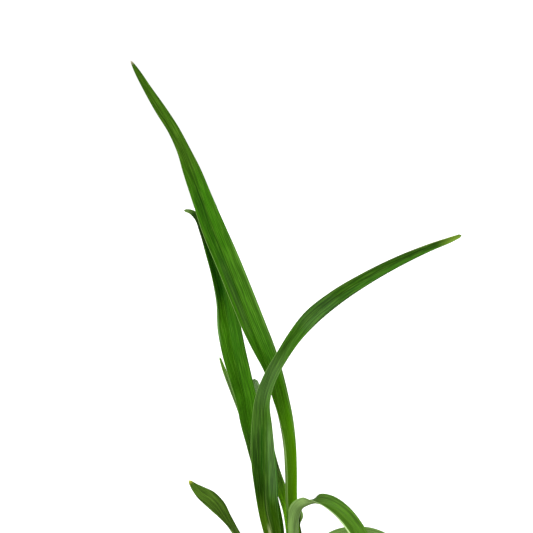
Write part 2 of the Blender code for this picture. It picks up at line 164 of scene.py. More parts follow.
abilities = [name for name, part in vars(Value).items() if callable(part) and name != "__init__"]
print("a Value can:", ", ".join(name.strip("_") for name in abilities))

# %% [markdown]
# A Geometry Nodes tree is made here with named inputs, and a modifier runs it once. The result
# is copied into a plain mesh and the modifier is taken off, because what leaves Blender in the
# end is only meshes: an instance or a live modifier would be lost on the way.

# %% Run a Geometry Nodes tree once
def geometry_tree(name, **inputs):
    """An empty tree with named inputs, given by their kind. It gives back the graph and the inputs.

    Every tree takes geometry in and gives geometry out, and its last input is the finish.
    """
    tree = bpy.data.node_groups.new(name, "GeometryNodeTree")
    for kind, labels in {"Geometry": "Geometry", **inputs, "Material": "Finish"}.items():
        for label in labels.split(", "):
            tree.interface.new_socket(label, in_out="INPUT", socket_type="NodeSocket" + kind)
    tree.interface.new_socket("Geometry", in_out="OUTPUT", socket_type="NodeSocketGeometry")
    graph = Graph(tree)
    entry = tree.nodes.new("NodeGroupInput")
    return graph, {socket.name: Value(graph, socket) for socket in entry.outputs if socket.name}


def close_tree(graph, geometry, finish):
    """Every tree ends here: instances made real, then the material."""
    real = graph.node("GeometryNodeRealizeInstances", {"Geometry": geometry})
    painted = graph.node("GeometryNodeSetMaterial", {"Geometry": real, "Material": finish})
    graph.node("NodeGroupOutput", {"Geometry": painted})
    return graph.tree


def show(name, data):
    """A new object in the scene, at the origin. A piece has its place in its mesh."""
    piece = bpy.data.objects.new(name, data)
    bpy.context.scene.collection.objects.link(piece)
    return piece


def apply(piece, modifier):
    """Puts what the modifier makes in place of the piece's mesh and takes the modifier off."""
    bpy.context.view_layer.update()
    depsgraph = bpy.context.evaluated_depsgraph_get()
    evaluated = piece.evaluated_get(depsgraph)
    made = bpy.data.meshes.new_from_object(evaluated, preserve_all_data_layers=True, depsgraph=depsgraph)
    piece.modifiers.remove(modifier)
    piece.data = made
    made.name = piece.name


def grow(name, source, tree, sizes):
    """A piece with the plain mesh that the tree makes from the source mesh."""
    piece = show(name, source)
    modifier = piece.modifiers.new("Grow", "NODES")
    modifier.node_group = tree
    for item in tree.interface.items_tree:
        if item.in_out == "INPUT" and item.name in sizes:
            modifier[item.identifier] = sizes[item.name]
    apply(piece, modifier)
    return piece


def hand_over(piece, slot, *nodes):
    """The piece rides on the plant's one body and stands for its CAD nodes, which it hides. slot is not
    used.
    """
    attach(piece, "root")
    if nodes:
        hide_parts(*nodes)
    print(piece.name, "has", sum(len(face.vertices) - 2 for face in piece.data.polygons), "triangles")


# %% [markdown]
# A daylily's leaf is a long strap folded along its keel. It could be a curve with a bevel, but a
# bevel has one cross-section, and a real blade starts as a tight gutter round the shoot, opens
# and flattens on its way up, turns, and runs out in a point. So each leaf is given by rows along
# its keel, as in the CAD: the keel's place, the blade's width, how far each half is folded up, how
# far the blade is turned and how round its gutter is. A smooth curve runs through the rows.

# %% Rows of each leaf, in millimetres
SOIL_TOP = 112.0
LEAF_FOOT_DEPTH = 12.0
LEAF_COLLAR = 4.0
GUTTER_SHARE = 0.9
FANS = {"left": (-3.2, 4.6), "right": (11.5, -4.6)}

# Each leaf: its fan, its foot's ring radius there, the heading of its back, the fold of its foot,
# and rows of the keel's x, y and height over the compost, width, fold, turn and gutter radius.
LEAVES = {
    "leaf_tall": ("right", 3.9, 125, 90, [
        (8, 1, 45.2, 14, 88, 0, 4),
        (6, 3.6, 70.8, 15, 86, 0, 4),
        (5.6, 5.6, 90, 15.6, 82, 0, 4),
        (4.4, 7.6, 107.6, 16.4, 74, 0, 4),
        (1.4, 10.4, 125.2, 17.6, 60, 0, 4),
        (-2.4, 13.6, 140.4, 18.4, 50, -2, 4),
        (-7.2, 17, 159.4, 18, 42, -5, 4),
        (-13, 20, 174.2, 19.6, 34, -10, 4),
        (-19.6, 22.4, 189.8, 20.4, 30, -14, 4),
        (-27.4, 25, 209.6, 20.2, 27, -16, 4),
        (-38.8, 28, 238.4, 19.4, 24, -20, 4),
        (-47.6, 30, 259.8, 18.2, 22, -25, 4),
        (-55.6, 32, 281.2, 15.6, 22, -28, 4),
        (-63.6, 34, 302.8, 13.2, 22, -30, 4),
        (-69.2, 35, 317, 10, 24, -32, 4),
        (-76.2, 36, 331.2, 8.8, 26, -32, 3),
        (-85.4, 37, 345.6, 8.4, 28, -32, 3),
        (-94.4, 38, 359.8, 6.4, 30, -32, 2),
        (-102.8, 39, 374, 3.6, 30, -32, 2),
        (-106.8, 39.6, 380.8, 0.8, 20, -32, 1),
    ]),
    "leaf_behind_tall": ("left", 4.2, 100, 90, [
        (-3, 11.2, 18.4, 15, 64, 0, 4),
        (-3, 12, 42, 15.2, 52, 0, 4),
        (-9.6, 14.4, 72.8, 16.4, 46, 2, 4),
        (-16.8, 16.4, 102, 17.6, 38, 8, 4),
        (-22.4, 18, 123.6, 17.8, 32, 10, 4),
        (-24.8, 19, 138, 17.2, 28, 8, 4),
        (-28.2, 21, 152.2, 17.4, 25, 2, 4),
        (-33.2, 24.4, 173.4, 18.2, 22, -8, 4),
        (-36, 28, 187.6, 18.2, 24, -10, 4),
        (-39.4, 33, 206.4, 15.8, 42, -6, 4),
        (-43.2, 36.4, 224.4, 15.2, 46, -4, 4),
        (-48.4, 38.4, 243.2, 14.4, 46, -4, 4),
        (-53.6, 39.6, 258.4, 11, 42, -8, 3),
        (-58.8, 40, 267.8, 6, 30, -10, 3),
        (-64.8, 40.4, 272.4, 3.2, 30, -10, 2),
        (-69.6, 41, 273.2, 1.4, 20, -10, 1),
    ]),
    "leaf_arching_right": ("left", 2.8, 110, 90, [
        (-5.6, 4, 44.2, 18, 60, -14, 4),
        (-9.2, 4, 61, 19, 50, -8, 4.4),
        (-10.4, 4, 79.2, 20, 38, -12, 4.4),
        (-11, 4, 104.8, 20, 33, -32, 4.4),
        (-10.8, 4, 122.8, 18.6, 36, -42, 4.4),
        (-10, 4, 140.8, 15.6, 44, -50, 4),
        (-4.4, 4, 158.2, 13.6, 50, -52, 4),
        (2.8, 5, 172, 11.8, 46, -46, 4),
        (10.8, 6.4, 185, 12, 40, -38, 4),
        (21.4, 8, 198, 13.2, 34, -32, 4),
        (39.4, 10, 212.8, 12.2, 32, -30, 4),
        (60.4, 12, 226, 10.2, 32, -30, 4),
        (87.2, 14, 240, 7.8, 32, -30, 3),
        (107.6, 15.6, 248.8, 5.6, 32, -30, 3),
        (121.6, 16.4, 254, 4, 30, -30, 2),
        (129.2, 17, 257.2, 2, 20, -30, 1),
    ]),
    "leaf_short_left": ("left", 6.6, 190, 55, [
        (-19.6, 1, 23.8, 12, 52, -10, 4),
        (-33.4, -2, 46, 11.6, 42, -22, 4),
        (-39.2, -4, 56.8, 10.6, 36, -45, 4),
        (-44.8, -5.6, 66.6, 11.6, 24, -72, 4),
        (-50, -6.4, 72.4, 11.4, 18, -80, 4),
        (-55.6, -7.6, 76.8, 9.2, 18, -80, 4),
        (-60.4, -8, 81.2, 5.4, 20, -80, 3),
        (-64.4, -8.4, 86, 1.4, 20, -80, 1),
    ]),
    "leaf_recurved": ("right", 6.3, -40, 55, [
        (14, -9.6, 28.4, 12.4, 56, 0, 5),
        (12, -10, 48.4, 13.2, 55, 0, 4.4),
        (12.4, -11, 58, 14, 52, 0, 4),
        (15.2, -13.6, 66.8, 17.2, 48, -6, 4),
        (20, -17.6, 70.8, 15.2, 50, -18, 4),
        (25.8, -23, 73.6, 14.6, 48, 10, 4),
        (34, -29, 73.2, 14.6, 44, 26, 4),
        (42.4, -35, 69.2, 13.6, 36, 36, 4),
        (51.2, -41, 59.6, 13, 30, 38, 4),
        (58.4, -46, 48.2, 11, 26, 40, 4),
        (63.6, -50, 36.8, 8, 26, 40, 3),
        (67, -53, 25.2, 4, 25, 40, 2),
        (68.2, -55, 18.8, 1.2, 20, 40, 1),
    ]),
    "leaf_low_right": ("right", 7.4, -15, 40, [
        (20.4, -7, 24.8, 11.6, 48, 0, 4),
        (28, -8.4, 38.4, 12, 48, 0, 4),
        (39.2, -11, 46.4, 12, 42, 5, 4),
        (54.2, -15, 49.2, 12, 38, 15, 4),
        (66.8, -19, 48, 11.6, 34, 25, 4),
        (77.6, -23, 43.6, 10, 30, 28, 4),
        (86.8, -27, 36, 7, 28, 28, 3),
        (93.6, -30, 28.4, 3.6, 25, 28, 2),
        (96.4, -31, 24.4, 1.2, 20, 28, 1),
    ]),
    "leaf_pointed": ("left", 5.4, 150, 38, [
        (-8.4, 17, 40.4, 8, 42, 0, 4),
        (-14.4, 20, 71.6, 8, 40, 0, 4),
        (-22.4, 23, 100.4, 8, 35, 0, 4),
        (-28.8, 25.6, 125.6, 8, 30, 0, 3),
        (-36, 27.6, 145.2, 7.2, 26, 0, 3),
        (-40.8, 29, 158, 4.8, 24, 0, 2),
        (-43.6, 30, 167.6, 1.6, 20, 0, 1),
    ]),
    "leaf_round_tipped": ("right", 5.2, 130, 50, [
        (8, 1.6, 23.6, 8.6, 46, -6, 4),
        (8, 5.6, 43.8, 8, 38, -34, 4),
        (6.2, 10.4, 59.2, 8, 38, -58, 4),
        (2, 15.6, 72.8, 9, 36, -60, 4),
        (-3, 19, 85.8, 8.4, 35, -52, 4),
        (-12.4, 24, 118.6, 10, 28, -45, 4),
        (-16.8, 27, 137.8, 9.8, 24, -45, 4),
        (-18, 28, 146.4, 7.8, 20, -45, 4),
        (-18.2, 28.4, 152, 3.4, 15, -45, 3),
    ]),
    "leaf_crinkled": ("right", 5.1, 45, 18, [
        (15.6, 1.6, 25.2, 4.4, 35, 0, 4),
        (14.4, 2.4, 44.8, 4.4, 30, 0, 4),
        (13.6, 2.4, 52, 4.2, 30, 0, 3),
        (15.2, 2.4, 57.6, 6.4, 28, 0, 3),
        (15.8, 2.2, 61.2, 2.4, 20, 0, 2),
    ]),
}
print(len(LEAVES), "leaves,", sum(len(leaf[-1]) for leaf in LEAVES.values()), "rows")

# %% A smooth path through the rows
SAMPLES_PER_ROW = 20


def smooth_rows(rows, count):
    """Rows at even distances along a smooth curve through the given ones, and the curve's length."""
    rows = np.array(rows, float)
    steps = np.linalg.norm(np.diff(rows[:, :3], axis=0), axis=1)
    reached = np.concatenate([[0.0], np.cumsum(steps)])
    slope = np.diff(rows, axis=0) / steps[:, None]
    share = (steps[:-1] / (steps[:-1] + steps[1:]))[:, None]
    lean = np.vstack([slope[:1], slope[:-1] * (1 - share) + slope[1:] * share, slope[-1:]])

    def at(places):
        """The cubic curve between two rows that leaves and reaches them with their own lean."""
        k = np.clip(np.searchsorted(reached, places, side="right") - 1, 0, len(steps) - 1)
        step = steps[k][:, None]
        u = (places - reached[k])[:, None] / step
        return (
            (2 * u**3 - 3 * u**2 + 1) * rows[k]
            + (u**3 - 2 * u**2 + u) * step * lean[k]
            + (3 * u**2 - 2 * u**3) * rows[k + 1]
            + (u**3 - u**2) * step * lean[k + 1]
        )

    fine = np.linspace(0, reached[-1], SAMPLES_PER_ROW * len(rows))
    run = np.linalg.norm(np.diff(at(fine)[:, :3], axis=0), axis=1)
    run = np.concatenate([[0.0], np.cumsum(run)])
    return at(np.interp(np.linspace(0, run[-1], count), run, fine)), run[-1]


# %% [markdown]
# The nodes that shape a blade need to know, at each station of its keel, which way is across the
# blade and which way its upper face looks. That upper-face direction is carried along the path,
# station by station, so that the blade never spins on its own. All of it is stored as attributes
# on a bare line of points, the blade's spine, which is the only input of the tree.

# %% The spine of a leaf
STATION_STEP = 1.6
ROUNDED_TIP = 1.2
LEAF_LIP = 0.2
NARROWEST_BLADE = 0.8
FLATTEST_FOLD = 2.0
TIGHTEST_GUTTER = 0.5


def spine_of(name):
    """A mesh of points along the keel, with the blade's frame and section on each point."""
    fan, ring, heading, fold, rows = LEAVES[name]
    x, y = FANS[fan]
    angle = math.radians(heading)
    keel = (x + ring * math.cos(angle), y + ring * math.sin(angle))
    width = 2 * ring * math.radians(fold) / GUTTER_SHARE
    foot = [(*keel, h, width, fold, 0, ring) for h in (-LEAF_FOOT_DEPTH, 0.0, LEAF_COLLAR)]
    length = smooth_rows(foot + rows, 2)[1]
    path = smooth_rows(foot + rows, int(length / STATION_STEP))[0]

    along = np.linspace(0, length, len(path))
    to_tip = length - along
    rounding = np.sqrt(1 - np.clip(1 - to_tip / ROUNDED_TIP, 0, 1) ** 2)
    half_width = (np.maximum(path[:, 3], NARROWEST_BLADE) / 2 + LEAF_LIP) * rounding
    folds = np.radians(np.maximum(path[:, 4], FLATTEST_FOLD))
    gutter = np.minimum(np.maximum(path[:, 6], TIGHTEST_GUTTER) * folds, GUTTER_SHARE * half_width)

    face_up = Vector((-math.cos(angle), -math.sin(angle), 0))
    sides, ups = [], []
    for tangent, turn in zip(np.gradient(path[:, :3], axis=0), np.radians(path[:, 5])):
        tangent = Vector(tangent).normalized()
        face_up = (face_up - face_up.dot(tangent) * tangent).normalized()
        side = tangent.cross(face_up)
        ups.append(face_up * math.cos(turn) + side * math.sin(turn))
        sides.append(side * math.cos(turn) - face_up * math.sin(turn))

    mesh = bpy.data.meshes.new(name + "_spine")
    mesh.from_pydata((path[:, :3] + (0, 0, SOIL_TOP)) * MM, [], [])
    kept = {
        "side": sides,
        "up": ups,
        "half_width": half_width * MM,
        "fold": folds,
        "radius": gutter / folds * MM,
        "along": (along - LEAF_FOOT_DEPTH) * MM,
        "to_tip": to_tip * MM,
    }
    for label, values in kept.items():
        values = np.array(values, np.float32)
        kind, field = ("FLOAT_VECTOR", "vector") if values.ndim == 2 else ("FLOAT", "value")
        mesh.attributes.new(label, kind, "POINT").data.foreach_set(field, values.ravel())
    return mesh


spines = {name: spine_of(name) for name in LEAVES}
print("stations:", {name: len(spine.vertices) for name, spine in spines.items()})

# %% [markdown]
# Now the blade itself. It follows a rule, so Geometry Nodes make it: a grid whose rows are the
# spine's stations and whose columns run from one margin over the keel to the other. Each point is
# pushed out along a round gutter by the keel, and from there along a straight half. A second grid
# makes the underside. The two meet in a thin rounded margin and in the tip, where their points
# coincide and are merged, so that the blade is one closed skin. Lengthwise ribs, the groove over
# the midrib, the keel under it and a slight unevenness are real relief, not paint.

# %% One face of a blade
MARGIN_ROUNDNESS = 10
END_ROUNDNESS = 80
CRINKLE_SIZE = 5 * MM
CRINKLE_STRETCH = 4


def rib_wave(out, ribs):
    """A wave from 1 to -1 across each half of the blade, with a crest on every rib."""
    return (out * ribs * 2 * math.pi).cosine()


def sample(graph, spine, row, kind, source):
    """What the source gives at one station of the spine."""
    sockets = {"Geometry": spine, "Value": source, "Index": row}
    return graph.node("GeometryNodeSampleIndex", sockets, data_type=kind)


def stored(graph, geometry, name, value, domain="POINT"):
    """The geometry with a number kept on each point or instance, for the material to read."""
    sockets = {"Geometry": geometry, "Name": name, "Value": value}
    return graph.node("GeometryNodeStoreNamedAttribute", sockets, data_type="FLOAT", domain=domain)


def blade_face(graph, given, underside):
    """The upper face of the blade, or its underside."""
    spine, stations, columns = given["Geometry"], given["Stations"], given["Columns"]
    face = graph.node("GeometryNodeMeshGrid", {"Vertices X": columns, "Vertices Y": stations})
    index = graph.node("GeometryNodeInputIndex")
    row = index % stations
    across = 2 * (index / stations).floor() / (columns - 1) - 1
    out = abs(across)
    to_end = abs(2 * row / (stations - 1) - 1)

    def at_station(name, kind="FLOAT"):
        source = graph.node("GeometryNodeInputNamedAttribute", {"Name": name}, data_type=kind)
        return sample(graph, spine, row, kind, source)

    half_width, fold, radius = at_station("half_width"), at_station("fold"), at_station("radius")
    along, to_tip = at_station("along"), at_station("to_tip")
    reach = out * half_width
    turn = (reach / radius).at_most(fold)
    rest = (reach - radius * fold).at_least(0.0)
    sideways = radius * turn.sine() + rest * fold.cosine()
    depth = radius * (1 - turn.cosine()) + rest * fold.sine()

    thin_out = (1 - out**MARGIN_ROUNDNESS) ** 0.5 * (1 - to_end**END_ROUNDNESS) ** 0.5
    ribs = given["Rib Height"] * rib_wave(out, given["Ribs"])
    midrib = reach.bump(given["Midrib Width"])
    if underside:
        offset = ribs - given["Thickness"] / 2 - given["Keel Depth"] * midrib
    else:
        offset = ribs + given["Thickness"] / 2 - given["Groove Depth"] * midrib
    offset = offset * thin_out
    place = graph.vector(across * half_width, along / CRINKLE_STRETCH, 0.0)
    uneven = graph.noise(place, CRINKLE_SIZE, 2.0) * given["Crinkle"] * thin_out

    x = across.sign() * (sideways - offset * turn.sine())
    z = depth + offset * turn.cosine() + uneven
    keel = sample(graph, spine, row, "FLOAT_VECTOR", graph.node("GeometryNodeInputPosition"))
    to_side = graph.scaled(at_station("side", "FLOAT_VECTOR"), x)
    to_front = graph.scaled(at_station("up", "FLOAT_VECTOR"), z)
    position = graph.sum_of(keel, graph.sum_of(to_side, to_front))

    kept = {"across": across, "half_width": half_width, "along": along, "to_tip": to_tip}
    for label, value in {**kept, "underside": float(underside)}.items():
        face = stored(graph, face, label, value)
    face = graph.node("GeometryNodeSetPosition", {"Geometry": face, "Position": position})
    return graph.node("GeometryNodeFlipFaces", {"Mesh": face}) if underside else face


# %% The whole blade
SEAM = 0.002 * MM


def blade_tree():
    """The Geometry Nodes tree that shapes every leaf."""
    sizes = "Thickness, Ribs, Rib Height, Midrib Width, Groove Depth, Keel Depth, Crinkle"
    graph, given = geometry_tree("blade", Int="Stations, Columns", Float=sizes)
    faces = [blade_face(graph, given, underside) for underside in (False, True)]
    both = graph.node("GeometryNodeJoinGeometry", {"Geometry": faces})
    closed = graph.node("GeometryNodeMergeByDistance", {"Geometry": both, "Distance": SEAM})
    smooth = graph.node("GeometryNodeSetShadeSmooth", {"Geometry": closed})
    return close_tree(graph, smooth, given["Finish"])


BLADE = blade_tree()
print("nodes in the blade tree:", len(BLADE.nodes))

# %% [markdown]
# The finish of a leaf. A daylily's blade is a deep, saturated green with many fine parallel veins,
# a midrib that shows as one thin line, and a thin margin; where the margin catches the light a pale
# line is painted on it, a painted highlight. Its foot, which grows in the dark of the fan, is pale
# yellow-green, its tip dries out or yellows first, and a bluish wax lies on the underside and on
# some blades' upper face too. Patches of painted shade and painted light are laid on as well. All
# of these follow the blade and not the world, so the material reads the numbers that the tree stored
# on the points: how far across, how far along, how far from the tip, and which face.

# %% New finishes
def new_finish(name, **constants):
    """A material, its graph and its shader. What stays the same all over is set on the shader."""
    made = bpy.data.materials.new(name)
    made.use_nodes = True
    shader = made.node_tree.nodes["Principled BSDF"]
    for socket, number in constants.items():
        shader.inputs[socket.replace("_", " ")].default_value = number
    return made, Graph(made.node_tree), shader


def paint(graph, shader, colour, roughness, relief, depth, strength=1.0):
    """What changes over a surface: its colour, its roughness and relief too fine for the mesh."""
    sockets = {"Height": relief, "Distance": depth, "Strength": strength}
    bump = graph.node("ShaderNodeBump", sockets)
    for name, value in {"Base Color": colour, "Roughness": roughness, "Normal": bump}.items():
        graph.fill(shader.inputs[name], value)


def on_object(graph):
    return graph.node("ShaderNodeTexCoord", output="Object")


def flattened(graph, place, times):
    """The place with its height stretched, so that a noise on it lies in level bands."""
    return graph.node("ShaderNodeMapping", {"Vector": place, "Scale": (1.0, 1.0, times)})


def attribute(graph, name):
    return graph.node("ShaderNodeAttribute", output="Fac", attribute_name=name)


# %% Colours and patterns of a leaf
RIBS = 8
DEEP_GREEN = (0.024, 0.100, 0.0008)
DARK_GREEN = (0.019, 0.070, 0.0020)
# pale foot green, partly the foot's own colour and partly painted light in its shaded gutter
PALE_AND_LIT_FOOT = (0.16, 0.40, 0.001)
LEAF_GREEN = (0.043, 0.102, 0.0050)
OLIVE_GREEN = (0.041, 0.091, 0.0070)
YELLOW_GREEN = (0.13, 0.23, 0.010)
WAX = (0.140, 0.240, 0.062)
# bluish wax; also used as a painted sheen and, made lighter, as painted light
BLUE_WAX_AND_SHEEN = (0.160, 0.250, 0.115)
SHADE = (0.006, 0.052, 0.0008)
# painted shade in the channel over the keel
CHANNEL_SHADE = (0.018, 0.060, 0.002)
# painted highlight: the pale line along the margins where the thin edge catches the light
MARGIN_HIGHLIGHT = (0.15, 0.26, 0.06)
PALE_VEIN = (0.12, 0.20, 0.028)
MIDRIB_LINE = (0.075, 0.16, 0.010)
DRY = (0.30, 0.26, 0.17)

# Each noise on a blade: its size across, how many times longer it is along the blade, the place in
# the noise that keeps it apart from the others, detail, roughness, and its weight in the tone
LEAF_NOISES = {
    "streaks": (1.1 * MM, 60, 0.0, 3.0, 0.6, 1.8),
    "bands": (3.4 * MM, 25, 3.0, 2.0, 0.5, 1.1),
    "clouds": (12 * MM, 3, 7.0, 3.0, 0.5, 0.5),
    "fine veins": (0.7 * MM, 18, 11.0, 2.0, 0.5, 1.4),
}
RIB_WEIGHT = 0.25
PALE_VEIN_SHARE = 0.22
MIDRIB_WIDTH = 0.4 * MM
MARGIN_WIDTH = (0.1 * MM, 0.45 * MM)
MARGIN_START = (15 * MM, 90 * MM)
MARGIN_END = (0.55, 1.0)
BACK_STRENGTH = 0.85
FOOT_STRENGTH = 0.85
FOOT_START = -5 * MM
TIP_STRENGTH = 0.9
TIP_SOLID = 0.2
LEAF_RELIEF = 0.05 * MM


def shade(colour, times):
    return tuple(min(1.0, part * times) for part in colour)


def from_to(ends, share):
    """The first of two numbers where the share is 0, and the second where it is 1."""
    return ends[0] + (ends[1] - ends[0]) * share


def mark(colour, strength, along, across=(-1.0, 1.0), soft=(0.1, 20.0), under=False):
    """A patch of colour between two distances along the leaf, in millimetres, and two places across
    it, from -1 to 1. soft is how far it fades out across and along. It is on the upper face or under it."""
    return dict(colour=colour, strength=strength, along=along, across=across, soft=soft, under=under)


# %% The finish of one leaf
def leaf_finish(name, body, foot=(YELLOW_GREEN, 60.0), tip=(YELLOW_GREEN, 8.0), wax=(0.0, 0.0),
                back=WAX, midrib=(0.4, 0.1), midrib_line=MIDRIB_LINE, midrib_fade=(0.12, 0.4),
                margin=(0.4, 0.3), contrast=1.0, marks=()):
    """The finish of one leaf.

    foot and tip are a colour and how far it reaches in millimetres, and back is the underside's
    colour. wax and midrib are how strong each is near the foot and near the tip, and midrib_fade
    says between which shares of the length the midrib's line changes. margin is how strong the
    painted highlight on each margin is, and contrast how much the tone varies.
    """
    made, graph, shader = new_finish(name, Specular_IOR_Level=0.035)
    stored_numbers = ("across", "along", "to_tip", "half_width", "underside")
    across, along, to_tip, half_width, underside = (attribute(graph, label) for label in stored_numbers)
    share = along / (along + to_tip)
    out = abs(across)
    offset = across * half_width
    ribs = rib_wave(out, RIBS)
    noises, variation = {}, ribs * RIB_WEIGHT
    for label, (size, stretch, apart, detail, roughness, weight) in LEAF_NOISES.items():
        place = graph.vector(offset, along / stretch, underside + apart)
        noises[label] = graph.noise(place, size, detail, roughness)
        variation = variation + noises[label] * weight
    tone = 0.5 + variation * contrast

    def varied(colour, spread=0.3):
        """The colour, darker and lighter by this share as the tone goes down and up."""
        return graph.mix(shade(colour, 1 - spread), shade(colour, 1 + spread), tone)

    waxed = from_to(wax, share.rise(0.1, 0.9)) * (1 + noises["bands"] + noises["clouds"])
    green = graph.mix(varied(body, 0.5), varied(WAX, 0.28), waxed)
    green = graph.mix(green, varied(back), underside * BACK_STRENGTH)
    foot_colour, foot_reach = foot
    near_foot = 1 - along.rise(FOOT_START, foot_reach * MM)
    green = graph.mix(green, foot_colour, near_foot * FOOT_STRENGTH)
    # marks: patches of colour, many of them painted shade and painted light
    for spot in marks:
        shape = across.between(*spot["across"], spot["soft"][0])
        shape *= along.between(*(place * MM for place in spot["along"]), spot["soft"][1] * MM)
        shape *= underside if spot["under"] else 1 - underside
        green = graph.mix(green, varied(spot["colour"]), shape * spot["strength"])
    green = graph.mix(green, PALE_VEIN, noises["fine veins"].rise(0.0, 0.26) * PALE_VEIN_SHARE)
    midrib_strength = from_to(midrib, share.rise(*midrib_fade))
    green = graph.mix(green, midrib_line, abs(offset).bump(MIDRIB_WIDTH) * midrib_strength)
    # painted highlight: a pale line along each margin where it catches the light, its strength given for
    # the left and the right margin
    edge = 1 - ((1 - out) * half_width).rise(*MARGIN_WIDTH)
    edge *= along.rise(*MARGIN_START) * (1 - share.rise(*MARGIN_END))
    green = graph.mix(green, MARGIN_HIGHLIGHT, edge * from_to(margin, across.rise(-0.01, 0.01)))
    tip_colour, tip_reach = tip
    near_tip = 1 - to_tip.rise(TIP_SOLID * tip_reach * MM, tip_reach * MM)
    green = graph.mix(green, tip_colour, near_tip * TIP_STRENGTH)
    streaks = noises["streaks"]
    paint(graph, shader, green, 0.48 + streaks * 0.2, streaks + ribs * 0.15, LEAF_RELIEF)
    return made


# %% [markdown]
# No two leaves of the plant are alike. The tall one is a fresh green below and deeper above, the
# arching one is dark with a pale heart at its foot, and the bent one shows its waxy back. So each
# has its own colours, and marks lay patches of colour on the blade: some are its own colour, and
# many are painted shade, shadow and light, which the colour SHADE or a note beside the mark shows.

